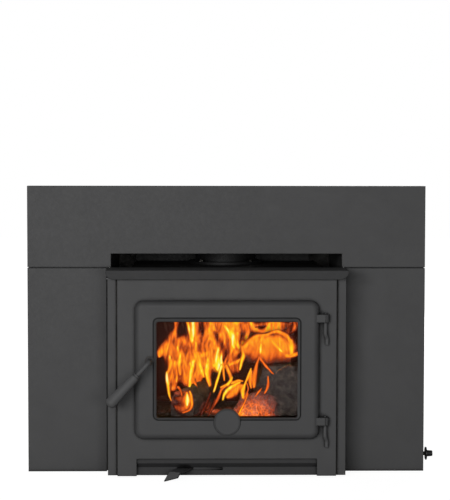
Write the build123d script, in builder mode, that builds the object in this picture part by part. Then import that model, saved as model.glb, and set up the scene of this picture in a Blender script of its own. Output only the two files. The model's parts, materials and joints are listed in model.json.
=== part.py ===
from build123d import *
import math
import os

os.makedirs("parts", exist_ok=True)

# Wood-burning fireplace insert, in millimetres.
# The origin is on the hearth floor, on the centreline, in the plane of the masonry face.
# X runs to the right, Y runs into the fireplace and Z runs up, so the front faces -Y.

# ---- surround -------------------------------------------------------------------------
surround_width = 1067.0
surround_height = 770.0
surround_depth = 45.0
surround_sheet = 2.0
surround_hem = 12.0
panel_split_z = 551.0
panel_joint_gap = 2.4
slot_side_cover = 4.0
slot_top_z = 588.5
panel_to_casing_gap = 8.0
bracket_sheet = 2.0
bracket_leaf = 30.0
side_bracket_height = 340.0
side_bracket_z = 275.0
side_stud_set_out = 18.6
top_bracket_width = 400.0
splice_end_gap = 1.25
splice_height = 60.0
stud_radius = 2.0
stud_length = 8.0
stud_edge = 14.0
stud_nut_radius = 4.0
stud_nut_height = 3.5

# ---- casing ---------------------------------------------------------------------------
casing_half_width = 314.0
casing_sheet = 2.0
casing_set_forward = 89.0
casing_depth = 529.0
body_bottom_z = 7.0
casing_top_z = 598.0
casing_flange = 54.0
casing_top_flange = 15.0
casing_to_surround = 1.0
cap_half_width = 316.5
cap_sheet = 3.0
cap_top_z = 552.0
cap_overhang = 34.0
cap_slope_run = 16.0
cap_slope_drop = 25.0
cap_corner_radius = 22.0
cap_to_surround = 2.0
front_set_forward = 100.0
front_half_width = 288.0
front_sheet = 5.0
front_return = 3.0
recess_half_width = 237.5
recess_top_z = 52.5
air_panel_half_width = 250.0
air_panel_sheet = 2.0
air_panel_top_z = 62.0
air_panel_lip_z = 40.0
air_panel_step_z = 29.0
air_panel_step = 7.0

# ---- base -----------------------------------------------------------------------------
pan_sheet = 2.0
runner_x = 200.0
runner_width = 30.0
runner_wall = 3.0
foot_bolt_radius = 5.0
foot_bolt_height = 42.0
foot_head_radius = 9.0
foot_head_height = 6.0
foot_nut_radius = 9.5
foot_nut_height = 8.0
foot_x = 272.0
foot_inset = 60.0
thread_clearance = 0.1

# ---- firebox --------------------------------------------------------------------------
firebox_half_width = 258.0
firebox_wall = 5.0
firebox_floor_z = 88.0
firebox_back_y = 300.0
brick = 32.0
brick_joint = 0.5
brick_side_height = 300.0
floor_bricks_across = 4
floor_bricks_deep = 3
side_bricks = 3
back_bricks = 4
retainer_sheet = 4.0
retainer_gap = 16.0
retainer_height = 46.0
manifold_width = 30.0
manifold_height = 30.0
manifold_wall = 2.0
air_tube_radius = 12.5
air_tube_wall = 1.5
air_tube_count = 4
air_tube_entry = 4.0
baffle_board = 25.0
baffle_front_gap = 65.0
baffle_joint = 1.0
ledge_sheet = 4.0
flue_y = 190.0
flue_radius = 77.0
collar_wall = 8.0
collar_flange_radius = 105.0
collar_flange = 8.0
collar_lip_chamfer = 1.5
collar_height = 76.0
collar_bolt_count = 4
collar_bolt_angle = 45.0
collar_bolt_radius = 4.0
collar_bolt_head_radius = 7.0
collar_bolt_head = 5.5
collar_bolt_length = 18.0
collar_to_casing = 10.0
deflector_left_x = -262.0
deflector_right_x = 248.0
deflector_sheet = 2.0
deflector_tab = 14.0

# ---- door -----------------------------------------------------------------------------
door_width = 483.2
door_height = 364.2
door_bottom_z = 107.1
door_corner_radius = 23.0
door_thickness = 22.0
door_gap = 2.0
door_round = 16.0
window_width = 369.2
window_height = 252.0
window_bottom_z = 165.1
window_radius = 5.5
bevel_side = 5.6
bevel_bottom = 3.4
bevel_top = 7.6
bevel_radius = 11.0
bevel_depth = 3.0
window_lip = 7.0
trim_land = 1.0
trim_groove = 2.4
trim_groove_depth = 2.5
disc_radius = 35.0
disc_z = 154.0
disc_proud = 2.0
disc_rim = 3.0
disc_recess = 0.8
glass = 5.0
glass_lap = 7.0
glass_edge_gap = 1.4
glass_seat = 1.0
glass_radius = 8.0
gasket_set_back = 1.0
retainer_bar = 3.0
retainer_bar_lap = 9.0
retainer_bar_seat = 13.0
retainer_bar_length = 360.0
retainer_bar_gap = 1.0
retainer_screw_pitch = 130.0
retainer_screw_radius = 2.5
retainer_screw_depth = 8.0
retainer_screw_head_radius = 4.5
retainer_screw_head = 2.5
rope_inset = 11.0
rope_width = 12.0
rope_groove = 8.0
seat_clearance = 0.3
opening_inset = 28.0
opening_radius = 10.0

# ---- hinges ---------------------------------------------------------------------------
hinge_x = 257.5
hinge_set_back = 11.0
lug_lower_z = 143.8
lug_upper_z = 415.0
lug_height = 21.0
lug_inner_x = 225.0
lug_front = 22.0
lug_radius = 9.8
pin_journal_radius = 4.0
pin_radius = 5.0
pin_clearance = 0.05
pin_above_lug = 4.0
pin_straight = 31.0
pin_bend_drop = 11.0
pin_weld_length = 18.0
pin_bend_offset = 5.0
pin_bend_radius = 12.0

# ---- latch and handle -----------------------------------------------------------------
latch_x = -202.0
latch_z = 316.0
latch_radius = 6.0
latch_clearance = 0.05
bush_radius = 8.0
bush_head_radius = 11.0
bush_head = 3.0
latch_collar_radius = 9.0
latch_collar = 3.0
handle_stand_off = 41.0
handle_bend_radius = 11.0
handle_angle = 226.7
handle_neck = 50.7
grip_length = 104.0
grip_neck_radius = 11.5
grip_end_radius = 15.5
grip_dome = 0.8
grip_bore_depth = 60.0
ferrule_radius = 9.0
ferrule_length = 6.0
finger_length = 24.0
finger_width = 10.0
finger_thickness = 6.0
finger_angle = 95.0
hub_radius = 7.5
latch_end_radius = 4.0
latch_nut_radius = 7.5
latch_nut_height = 6.0
latch_thread_end = 1.0
strike_thickness = 3.0
strike_height = 34.0
strike_width = 26.0
strike_lead = 2.0

# ---- combustion air -------------------------------------------------------------------
lever_pivot_x = -66.0
lever_pivot_y = -40.0
lever_angle = 25.2
lever_turn = 45.0
lever_top_z = 27.0
lever_thickness = 5.0
lever_width = 31.6
lever_length = 165.8
lever_hub_radius = 20.0
blade_radius = 25.0
blade_reach = 50.0
port_radius = 17.0
tab_tilt = 63.0
tab_left_drop = 26.9
tab_left_skew = 9.9
tab_right_drop = 14.5
tab_right_skew = 4.9
lever_slot_clearance = 4.0
lever_slot_height = 7.0
lever_pin_radius = 4.0
lever_pin_head_radius = 8.0
lever_pin_head = 4.0
lever_pin_nut = 6.5
seat_plate = 4.0
seat_half_width = 95.0
seat_front_gap = 12.0
seat_depth = 130.0
duct_sheet = 2.0
duct_half_width = 60.0
duct_depth = 70.0

# ---- fan ------------------------------------------------------------------------------
wheel_radius = 28.0
wheel_length = 180.0
wheel_blades = 20
wheel_blade = 1.2
blade_angle = 30.0
blade_end_gap = 0.5
wheel_ring = 9.0
wheel_disc = 2.5
wheel_clearance = 4.0
wheel_x = 30.0
shaft_radius = 4.0
shaft_clearance = 0.05
shaft_overhang = 14.0
shaft_hole_gap = 1.0
fan_wall = 3.0
fan_plate = 6.0
fan_rear_gap = 3.0
fan_outlet = 46.0
fan_height = 92.0
fan_inlet = 34.0
motor_radius = 30.0
motor_length = 52.0
motor_cap = 10.0
motor_edge_radius = 4.0
bearing_radius = 9.0

# ---- fan speed control ----------------------------------------------------------------
knob_y = -22.5
knob_z = 43.7
control_length = 26.0
control_width = 28.0
control_height = 34.0
bushing_radius = 4.5
bushing_length = 7.0
spindle_radius = 3.0
spindle_length = 22.0
control_nut_radius = 7.0
control_nut = 3.0
knob_clearance = 0.05
knob_off_panel = 8.0
skirt_radius = 17.5
skirt = 3.0
knob_grip_radius = 9.0
knob_grip_tip_radius = 7.5
knob_height = 19.0
knob_bore_depth = 14.0

# ---- fuel -----------------------------------------------------------------------------
ember_depth = 25.0
ember_crown = 14.0
fuel_clearance = 0.3
log_edge_radius = 6.0
left_log_front = (-119.0, -85.0)
left_log_back = (-42.0, 178.0)
left_log_section = [(-34, 0), (33, 0), (36, 46), (14, 78), (-26, 70), (-37, 34)]
right_log_front = (148.0, -52.0)
right_log_back = (148.0, 190.0)
right_log_height = 139.0
right_log_shoulder = 84.0
right_log_section = [(-70, 0), (66, 0), (66, right_log_height), (-50, right_log_height),
                     (-68, right_log_shoulder)]
top_log_front = (116.0, -36.0)
top_log_back = (116.0, 205.0)
top_log_section = [(-63, 0), (63, 0), (60, 40), (38, 70), (0, 82), (-38, 70), (-60, 40)]

# ---- levels and planes worked out from the sizes above ----------------------------------
surround_face_y = -surround_depth
panel_back_y = surround_face_y + surround_sheet
surround_half_width = surround_width / 2
casing_front_y = surround_face_y - casing_set_forward
casing_back_y = casing_front_y + casing_depth
front_face_y = surround_face_y - front_set_forward
front_back_y = front_face_y + front_sheet
cap_under_z = cap_top_z - cap_sheet
casing_step_y = panel_back_y + casing_to_surround
casing_inside = casing_half_width - casing_sheet
pan_top_z = body_bottom_z + pan_sheet
firebox_inside = firebox_half_width - firebox_wall
firebox_inside_floor = firebox_floor_z + firebox_wall
firebox_inside_top = cap_under_z - firebox_wall
firebox_inside_back = firebox_back_y - firebox_wall
floor_brick_top = firebox_inside_floor + brick
side_brick_face = firebox_inside - brick
back_brick_face = firebox_inside_back - brick
retainer_y = front_back_y + retainer_gap
hearth_front_y = retainer_y + retainer_sheet
side_brick_top = floor_brick_top + brick_side_height
tube_z = side_brick_top + manifold_height / 2
collar_radius = flue_radius + collar_wall
door_back_y = front_face_y - door_gap
door_face_y = door_back_y - door_thickness
door_centre_z = door_bottom_z + door_height / 2
window_centre_z = window_bottom_z + window_height / 2
glass_front_y = door_face_y + bevel_depth + window_lip + glass_seat
glass_back_y = glass_front_y + glass
hinge_y = front_face_y - hinge_set_back
lug_levels = [lug_lower_z, lug_upper_z]
handle_y = door_face_y - handle_stand_off
finger_front_y = front_back_y + strike_thickness + seat_clearance
finger_back_y = finger_front_y + finger_thickness
fan_back_y = casing_back_y - casing_sheet - fan_rear_gap
fan_y = fan_back_y - fan_wall - wheel_clearance - wheel_radius
fan_z = pan_top_z + fan_wall + wheel_clearance + wheel_radius
fan_front_y = fan_y - wheel_radius - wheel_clearance - fan_wall
fan_left_x = wheel_x - wheel_length / 2 - wheel_clearance - fan_plate
fan_right_x = wheel_x + wheel_length / 2 + wheel_clearance + fan_plate
fuel_floor_z = floor_brick_top + ember_depth

sides = {"left": -1, "right": 1}


def front_plane(y):
    """Plane parallel to the front at depth y, seen from the front: local x is X, local y is Z."""
    return Plane.XZ.offset(-y)


def side_plane(x):
    """Plane square to X at x: local x is Y and local y is Z."""
    return Plane.YZ.offset(x)


# ========================================================================================
# Surround: three folded panels with hemmed returns that meet the masonry
# ========================================================================================

slot_half_width = casing_half_width - slot_side_cover
splice_x = (surround_half_width - surround_sheet + casing_half_width) / 2
splice_width = surround_half_width - surround_sheet - casing_half_width - 2 * splice_end_gap
splice_studs = [(x, z) for x in (-splice_width / 2 + stud_edge, splice_width / 2 - stud_edge)
                for z in (-splice_height / 2 + stud_edge, splice_height / 2 - stud_edge)]
top_stud_z = casing_top_z + bracket_leaf / 2
top_studs = [(x, top_stud_z) for x in (-top_bracket_width / 3, 0, top_bracket_width / 3)]
side_stud_x = casing_half_width + side_stud_set_out
side_studs = [side_bracket_z - side_bracket_height / 3, side_bracket_z,
              side_bracket_z + side_bracket_height / 3]
side_points = [(sign * side_stud_x, z) for sign in sides.values() for z in side_studs]
splice_points = [(sign * splice_x + x, panel_split_z + z) for sign in sides.values() for x, z in splice_studs]

top_panel_z = panel_split_z + panel_joint_gap / 2
top_panel_height = surround_height - top_panel_z

with BuildPart() as surround_top:
    with BuildSketch(front_plane(surround_face_y)):
        with Locations((0, top_panel_z)):
            Rectangle(surround_width, top_panel_height, align=(Align.CENTER, Align.MIN))
    extrude(amount=-surround_depth)
    with BuildSketch(front_plane(panel_back_y)):
        with Locations((0, top_panel_z)):
            Rectangle(surround_width - 2 * surround_sheet, top_panel_height - surround_sheet,
                      align=(Align.CENTER, Align.MIN))
    extrude(amount=-(surround_depth - 2 * surround_sheet), mode=Mode.SUBTRACT)
    with BuildSketch(front_plane(-surround_sheet)):
        with Locations((0, top_panel_z)):
            Rectangle(surround_width - 2 * surround_hem, top_panel_height - surround_hem,
                      align=(Align.CENTER, Align.MIN))
    extrude(amount=-surround_sheet, mode=Mode.SUBTRACT)
    with BuildSketch(front_plane(surround_face_y)):
        with Locations((0, top_panel_z)):
            Rectangle(2 * slot_half_width, slot_top_z - top_panel_z, align=(Align.CENTER, Align.MIN))
    extrude(amount=-surround_sheet, mode=Mode.SUBTRACT)
    with BuildSketch(front_plane(panel_back_y)):
        with Locations(*top_studs, *[point for point in splice_points if point[1] > panel_split_z]):
            Circle(stud_radius)
    extrude(amount=-stud_length)
surround_top.part.label = "surround_top"
export_step(surround_top.part, "parts/surround_top.step")

side_panel_height = panel_split_z - panel_joint_gap / 2
side_panel_inner = casing_half_width + panel_to_casing_gap

for side, sign in sides.items():
    outer_x = sign * surround_half_width
    width = surround_half_width - side_panel_inner
    edge = Align.MIN if sign < 0 else Align.MAX
    lower_splice = [point for point in splice_points if point[0] * sign > 0 and point[1] < panel_split_z]
    panel_studs = [point for point in side_points if point[0] * sign > 0] + lower_splice
    with BuildPart() as surround_side:
        with BuildSketch(front_plane(surround_face_y)):
            with Locations((outer_x, 0)):
                Rectangle(width, side_panel_height, align=(edge, Align.MIN))
        extrude(amount=-surround_sheet)
        with BuildSketch(front_plane(panel_back_y)):
            with Locations((outer_x, 0)):
                Rectangle(surround_sheet, side_panel_height, align=(edge, Align.MIN))
        extrude(amount=-(surround_depth - surround_sheet))
        with BuildSketch(front_plane(-surround_sheet)):
            with Locations((outer_x, 0)):
                Rectangle(surround_hem, side_panel_height, align=(edge, Align.MIN))
        extrude(amount=-surround_sheet)
        with BuildSketch(front_plane(panel_back_y)):
            with Locations(*panel_studs):
                Circle(stud_radius)
        extrude(amount=-stud_length)
        if side == "right":
            with BuildSketch(side_plane(outer_x - surround_sheet)):
                with Locations((knob_y, knob_z)):
                    Circle(bushing_radius + thread_clearance)
            extrude(amount=surround_sheet, mode=Mode.SUBTRACT)
    surround_side.part.label = f"surround_{side}"
    export_step(surround_side.part, f"parts/surround_{side}.step")

with BuildPart() as splices:
    with BuildSketch(front_plane(panel_back_y)):
        for sign in sides.values():
            with Locations((sign * splice_x, panel_split_z)):
                Rectangle(splice_width, splice_height)
                with Locations(*splice_studs):
                    Circle(stud_radius + thread_clearance, mode=Mode.SUBTRACT)
    extrude(amount=-bracket_sheet)
splices.part.label = "splice_plates"
export_step(splices.part, "parts/splice_plates.step")

with BuildPart() as side_brackets:
    with BuildSketch(Plane.XY.offset(side_bracket_z - side_bracket_height / 2)):
        for sign in sides.values():
            edge = Align.MIN if sign > 0 else Align.MAX
            with Locations((sign * casing_half_width, panel_back_y)):
                Rectangle(bracket_leaf, bracket_sheet, align=(edge, Align.MIN))
                Rectangle(bracket_sheet, bracket_leaf, align=(edge, Align.MIN))
    extrude(amount=side_bracket_height)
    with BuildSketch(front_plane(panel_back_y)):
        with Locations(*side_points):
            Circle(stud_radius + thread_clearance)
    extrude(amount=-bracket_sheet, mode=Mode.SUBTRACT)
side_brackets.part.label = "surround_brackets_side"
export_step(side_brackets.part, "parts/surround_brackets_side.step")

with BuildPart() as top_bracket:
    with BuildSketch(side_plane(-top_bracket_width / 2)):
        with Locations((panel_back_y, casing_top_z)):
            Rectangle(bracket_sheet, bracket_leaf, align=(Align.MIN, Align.MIN))
            Rectangle(bracket_leaf, bracket_sheet, align=(Align.MIN, Align.MIN))
    extrude(amount=top_bracket_width)
    with BuildSketch(front_plane(panel_back_y)):
        with Locations(*top_studs):
            Circle(stud_radius + thread_clearance)
    extrude(amount=-bracket_sheet, mode=Mode.SUBTRACT)
top_bracket.part.label = "surround_bracket_top"
export_step(top_bracket.part, "parts/surround_bracket_top.step")

nut_points = top_studs + splice_points + side_points

with BuildPart() as stud_nuts:
    with BuildSketch(front_plane(panel_back_y + bracket_sheet)):
        with Locations(*nut_points):
            RegularPolygon(stud_nut_radius, 6)
            Circle(stud_radius, mode=Mode.SUBTRACT)
    extrude(amount=-stud_nut_height)
stud_nuts.part.label = "surround_nuts"
export_step(stud_nuts.part, "parts/surround_nuts.step")

# ========================================================================================
# Casing: base pan, side and rear sheets, casing top, front plate, cap and lower air panel
# ========================================================================================

foot_points = [(sign * foot_x, y) for sign in sides.values()
               for y in (casing_front_y + foot_inset, casing_back_y - foot_inset)]

with BuildPart() as base_pan:
    with BuildSketch(Plane.XY.offset(body_bottom_z)):
        with Locations((0, front_back_y + air_panel_sheet + air_panel_step)):
            Rectangle(2 * casing_inside, casing_back_y - casing_sheet - front_back_y - air_panel_sheet
                      - air_panel_step, align=(Align.CENTER, Align.MIN))
        with Locations(*foot_points):
            Circle(foot_bolt_radius + thread_clearance, mode=Mode.SUBTRACT)
    extrude(amount=pan_sheet)
base_pan.part.label = "base_pan"
export_step(base_pan.part, "parts/base_pan.step")

with BuildPart() as foot_bolts:
    with BuildSketch(Plane.XY):
        with Locations(*foot_points):
            RegularPolygon(foot_head_radius, 6)
    extrude(amount=foot_head_height)
    with BuildSketch(Plane.XY.offset(foot_head_height)):
        with Locations(*foot_points):
            Circle(foot_bolt_radius)
    extrude(amount=foot_bolt_height - foot_head_height)
    chamfer(foot_bolts.edges().group_by(Axis.Z)[-1], length=1)
foot_bolts.part.label = "levelling_bolts"
export_step(foot_bolts.part, "parts/levelling_bolts.step")

with BuildPart() as foot_nuts:
    with BuildSketch(Plane.XY.offset(pan_top_z)):
        with Locations(*foot_points):
            RegularPolygon(foot_nut_radius, 6)
            Circle(foot_bolt_radius + thread_clearance, mode=Mode.SUBTRACT)
    extrude(amount=foot_nut_height)
foot_nuts.part.label = "levelling_nuts"
export_step(foot_nuts.part, "parts/levelling_nuts.step")

runner_front_y = hearth_front_y
runner_length = firebox_back_y - runner_front_y

with BuildPart() as runners:
    with BuildSketch(front_plane(runner_front_y)):
        for sign in sides.values():
            with Locations((sign * runner_x, pan_top_z)):
                Rectangle(runner_width, firebox_floor_z - pan_top_z, align=(Align.CENTER, Align.MIN))
            with Locations((sign * (runner_x + runner_wall), pan_top_z + runner_wall)):
                Rectangle(runner_width, firebox_floor_z - pan_top_z - 2 * runner_wall,
                          align=(Align.CENTER, Align.MIN), mode=Mode.SUBTRACT)
    extrude(amount=-runner_length)
runners.part.label = "base_runners"
export_step(runners.part, "parts/base_runners.step")

for side, sign in sides.items():
    edge = Align.MAX if sign > 0 else Align.MIN
    with BuildPart() as casing_side:
        with BuildSketch(side_plane(sign * casing_inside)):
            with BuildLine():
                Polyline((casing_front_y, body_bottom_z), (casing_back_y, body_bottom_z),
                         (casing_back_y, casing_top_z - casing_sheet),
                         (casing_step_y, casing_top_z - casing_sheet), (casing_step_y, cap_under_z),
                         (casing_front_y, cap_under_z), close=True)
            make_face()
        extrude(amount=sign * casing_sheet)
        with BuildSketch(front_plane(casing_front_y)):
            with Locations((sign * casing_half_width, body_bottom_z)):
                Rectangle(casing_flange, cap_under_z - body_bottom_z, align=(edge, Align.MIN))
        extrude(amount=-casing_sheet)
        with BuildSketch(Plane.XY.offset(casing_top_z - casing_sheet)):
            with Locations((sign * casing_half_width, casing_step_y)):
                Rectangle(casing_top_flange, casing_back_y - casing_sheet - casing_step_y,
                          align=(edge, Align.MIN))
        extrude(amount=-casing_sheet)
    casing_side.part.label = f"casing_{side}"
    export_step(casing_side.part, f"parts/casing_{side}.step")

with BuildPart() as casing_rear:
    with BuildSketch(front_plane(casing_back_y)):
        with Locations((0, body_bottom_z)):
            Rectangle(2 * casing_inside, casing_top_z - casing_sheet - body_bottom_z,
                      align=(Align.CENTER, Align.MIN))
    extrude(amount=casing_sheet)
casing_rear.part.label = "casing_rear"
export_step(casing_rear.part, "parts/casing_rear.step")

with BuildPart() as casing_top:
    with BuildSketch(Plane.XY.offset(casing_top_z)):
        with Locations((0, casing_step_y)):
            Rectangle(2 * casing_half_width, casing_back_y - casing_step_y, align=(Align.CENTER, Align.MIN))
        with Locations((0, flue_y)):
            Circle(collar_radius + collar_to_casing, mode=Mode.SUBTRACT)
    extrude(amount=-casing_sheet)
casing_top.part.label = "casing_top"
export_step(casing_top.part, "parts/casing_top.step")

opening_width = door_width - 2 * opening_inset
opening_height = door_height - 2 * opening_inset

with BuildPart() as front_plate:
    with BuildSketch(front_plane(front_face_y)):
        with Locations((0, body_bottom_z)):
            Rectangle(2 * front_half_width, cap_under_z - body_bottom_z, align=(Align.CENTER, Align.MIN))
            Rectangle(2 * recess_half_width, recess_top_z - body_bottom_z,
                      align=(Align.CENTER, Align.MIN), mode=Mode.SUBTRACT)
        with Locations((0, door_centre_z)):
            RectangleRounded(opening_width, opening_height, opening_radius, mode=Mode.SUBTRACT)
    extrude(amount=-front_sheet)
    with BuildSketch(front_plane(front_back_y)):
        for sign in sides.values():
            with Locations((sign * front_half_width, body_bottom_z)):
                Rectangle(front_return, cap_under_z - body_bottom_z,
                          align=(Align.MAX if sign > 0 else Align.MIN, Align.MIN))
    extrude(amount=-(casing_front_y - front_back_y))
front_plate.part.label = "front_plate"
export_step(front_plate.part, "parts/front_plate.step")

cap_front_y = front_face_y - cap_overhang
cap_slope = math.hypot(cap_slope_run, cap_slope_drop)
cap_sheet_run = cap_sheet * cap_slope_drop / cap_slope
cap_sheet_drop = cap_sheet * cap_slope_run / cap_slope
cap_bend = (cap_sheet + cap_sheet_drop) * cap_slope / cap_slope_drop
cap_face = Plane(origin=(0, cap_front_y, cap_top_z), x_dir=(1, 0, 0),
                 z_dir=(0, -cap_slope_drop, -cap_slope_run))
cap_lower_y = cap_front_y + cap_slope_run
cap_lower_z = cap_top_z - cap_slope_drop

with BuildPart() as top_cap:
    with BuildSketch(side_plane(-cap_half_width)):
        with BuildLine():
            Polyline((cap_front_y, cap_top_z), (surround_face_y - cap_to_surround, cap_top_z),
                     (surround_face_y - cap_to_surround, cap_under_z), (cap_front_y + cap_bend, cap_under_z),
                     (cap_lower_y + cap_sheet_run, cap_lower_z + cap_sheet_drop), (cap_lower_y, cap_lower_z),
                     close=True)
        make_face()
    extrude(amount=2 * cap_half_width)
    with BuildSketch(cap_face):
        for sign in sides.values():
            edge = Align.MAX if sign > 0 else Align.MIN
            with Locations((sign * cap_half_width, -cap_slope)):
                Rectangle(cap_corner_radius, cap_corner_radius, align=(edge, Align.MIN))
        with Locations(*[(sign * (cap_half_width - cap_corner_radius), cap_corner_radius - cap_slope)
                         for sign in sides.values()]):
            Circle(cap_corner_radius, mode=Mode.SUBTRACT)
    extrude(amount=-cap_sheet, mode=Mode.SUBTRACT)
top_cap.part.label = "top_cap"
export_step(top_cap.part, "parts/top_cap.step")

lever_reach = lever_pivot_y - front_back_y - air_panel_step
slot_points = [lever_pivot_x + lever_reach * math.tan(math.radians(angle))
               for angle in (-lever_angle, lever_turn - lever_angle)]
slot_half = lever_width / 2 / math.cos(math.radians(lever_angle)) + lever_slot_clearance
slot_left = slot_points[0] - slot_half
slot_right = slot_points[1] + slot_half

with BuildPart() as air_panel:
    with BuildSketch(side_plane(-air_panel_half_width)):
        with BuildLine():
            back = front_back_y + air_panel_sheet
            Polyline((front_back_y, air_panel_top_z), (front_back_y, air_panel_lip_z),
                     (front_back_y + air_panel_step, air_panel_step_z),
                     (front_back_y + air_panel_step, body_bottom_z), (back + air_panel_step, body_bottom_z),
                     (back + air_panel_step, air_panel_step_z), (back, air_panel_lip_z),
                     (back, air_panel_top_z), close=True)
        make_face()
    extrude(amount=2 * air_panel_half_width)
    with BuildSketch(front_plane(front_back_y + air_panel_step)):
        with Locations(((slot_left + slot_right) / 2, lever_top_z - lever_thickness / 2)):
            Rectangle(slot_right - slot_left, lever_slot_height)
    extrude(amount=-air_panel_sheet, mode=Mode.SUBTRACT)
air_panel.part.label = "lower_air_panel"
export_step(air_panel.part, "parts/lower_air_panel.step")

# ========================================================================================
# Firebox: welded shell, firebricks, air tubes, baffle and flue collar
# ========================================================================================

duct_y = lever_pivot_y - blade_reach * math.cos(math.radians(lever_angle))
duct_x = lever_pivot_x - blade_reach * math.sin(math.radians(lever_angle))
bolt_circle = (collar_radius + collar_flange_radius) / 2

with BuildPart() as firebox:
    with BuildSketch(Plane.XY.offset(firebox_floor_z)):
        with Locations((0, front_back_y)):
            Rectangle(2 * firebox_half_width, firebox_back_y - front_back_y, align=(Align.CENTER, Align.MIN))
    extrude(amount=cap_under_z - firebox_floor_z)
    with BuildSketch(Plane.XY.offset(firebox_inside_floor)):
        with Locations((0, front_back_y)):
            Rectangle(2 * firebox_inside, firebox_inside_back - front_back_y, align=(Align.CENTER, Align.MIN))
    extrude(amount=firebox_inside_top - firebox_inside_floor, mode=Mode.SUBTRACT)
    with BuildSketch(Plane.XY.offset(cap_under_z)):
        with Locations((0, flue_y)):
            Circle(flue_radius)
            with PolarLocations(bolt_circle, collar_bolt_count, start_angle=collar_bolt_angle):
                Circle(collar_bolt_radius + thread_clearance)
    extrude(amount=-firebox_wall, mode=Mode.SUBTRACT)
    with BuildSketch(Plane.XY.offset(firebox_floor_z)):
        with Locations((duct_x, retainer_y - retainer_gap / 2)):
            Rectangle(duct_half_width, retainer_gap / 2)
    extrude(amount=firebox_wall, mode=Mode.SUBTRACT)
firebox.part.label = "firebox_shell"
export_step(firebox.part, "parts/firebox_shell.step")

with BuildPart() as flue_collar:
    with BuildSketch(Plane.XY.offset(cap_under_z)):
        with Locations((0, flue_y)):
            Circle(collar_flange_radius)
            Circle(flue_radius, mode=Mode.SUBTRACT)
            with PolarLocations(bolt_circle, collar_bolt_count, start_angle=collar_bolt_angle):
                Circle(collar_bolt_radius + thread_clearance, mode=Mode.SUBTRACT)
    extrude(amount=collar_flange)
    with BuildSketch(Plane.XY.offset(cap_under_z + collar_flange)):
        with Locations((0, flue_y)):
            Circle(collar_radius)
            Circle(flue_radius, mode=Mode.SUBTRACT)
    extrude(amount=collar_height - collar_flange)
    chamfer(flue_collar.edges().filter_by(GeomType.CIRCLE).group_by(Axis.Z)[-1], length=collar_lip_chamfer)
flue_collar.part.label = "flue_collar"
export_step(flue_collar.part, "parts/flue_collar.step")

with BuildPart() as collar_bolts:
    with BuildSketch(Plane.XY.offset(cap_under_z + collar_flange)):
        with Locations((0, flue_y)):
            with PolarLocations(bolt_circle, collar_bolt_count, start_angle=collar_bolt_angle):
                RegularPolygon(collar_bolt_head_radius, 6)
    extrude(amount=collar_bolt_head)
    with BuildSketch(Plane.XY.offset(cap_under_z + collar_flange)):
        with Locations((0, flue_y)):
            with PolarLocations(bolt_circle, collar_bolt_count, start_angle=collar_bolt_angle):
                Circle(collar_bolt_radius)
    extrude(amount=-collar_bolt_length)
collar_bolts.part.label = "collar_bolts"
export_step(collar_bolts.part, "parts/collar_bolts.step")

floor_width = 2 * firebox_inside
floor_depth = firebox_inside_back - hearth_front_y

with BuildPart() as floor_brick:
    with BuildSketch(Plane.XY.offset(firebox_inside_floor)):
        with Locations((0, hearth_front_y + floor_depth / 2)):
            with GridLocations(floor_width / floor_bricks_across, floor_depth / floor_bricks_deep,
                               floor_bricks_across, floor_bricks_deep):
                Rectangle(floor_width / floor_bricks_across - brick_joint,
                          floor_depth / floor_bricks_deep - brick_joint)
    extrude(amount=brick)
floor_brick.part.label = "floor_firebricks"
export_step(floor_brick.part, "parts/floor_firebricks.step")

with BuildPart() as side_brick:
    with BuildSketch(Plane.XY.offset(floor_brick_top)):
        for sign in sides.values():
            edge = Align.MAX if sign > 0 else Align.MIN
            for row in range(side_bricks):
                with Locations((sign * firebox_inside, hearth_front_y + row * floor_depth / side_bricks)):
                    Rectangle(brick, floor_depth / side_bricks - brick_joint, align=(edge, Align.MIN))
    extrude(amount=brick_side_height)
side_brick.part.label = "side_firebricks"
export_step(side_brick.part, "parts/side_firebricks.step")

with BuildPart() as back_brick:
    with BuildSketch(Plane.XY.offset(floor_brick_top)):
        with Locations((0, firebox_inside_back - brick / 2)):
            with GridLocations(2 * side_brick_face / back_bricks, brick, back_bricks, 1):
                Rectangle(2 * side_brick_face / back_bricks - brick_joint, brick)
    extrude(amount=brick_side_height)
back_brick.part.label = "back_firebricks"
export_step(back_brick.part, "parts/back_firebricks.step")

with BuildPart() as retainer:
    with BuildSketch(front_plane(retainer_y)):
        with Locations((0, firebox_inside_floor)):
            Rectangle(2 * firebox_inside, retainer_height, align=(Align.CENTER, Align.MIN))
    extrude(amount=-retainer_sheet)
retainer.part.label = "brick_retainer"
export_step(retainer.part, "parts/brick_retainer.step")

manifold_length = firebox_inside_back - hearth_front_y
tube_pitch = manifold_length / air_tube_count
tube_rows = [hearth_front_y + tube_pitch * (2 * row + 1) / 2 for row in range(air_tube_count)]

with BuildPart() as manifolds:
    with BuildSketch(front_plane(hearth_front_y)):
        for sign in sides.values():
            edge = Align.MAX if sign > 0 else Align.MIN
            with Locations((sign * firebox_inside, side_brick_top)):
                Rectangle(manifold_width, manifold_height, align=(edge, Align.MIN))
            with Locations((sign * (firebox_inside - manifold_wall), side_brick_top + manifold_wall)):
                Rectangle(manifold_width - 2 * manifold_wall, manifold_height - 2 * manifold_wall,
                          align=(edge, Align.MIN), mode=Mode.SUBTRACT)
    extrude(amount=-manifold_length)
    for sign in sides.values():
        with BuildSketch(side_plane(sign * (firebox_inside - manifold_width))):
            with Locations(*[(y, tube_z) for y in tube_rows]):
                Circle(air_tube_radius + thread_clearance)
        extrude(amount=sign * manifold_wall, mode=Mode.SUBTRACT)
manifolds.part.label = "air_manifolds"
export_step(manifolds.part, "parts/air_manifolds.step")

tube_half = firebox_inside - manifold_width + air_tube_entry

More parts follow.
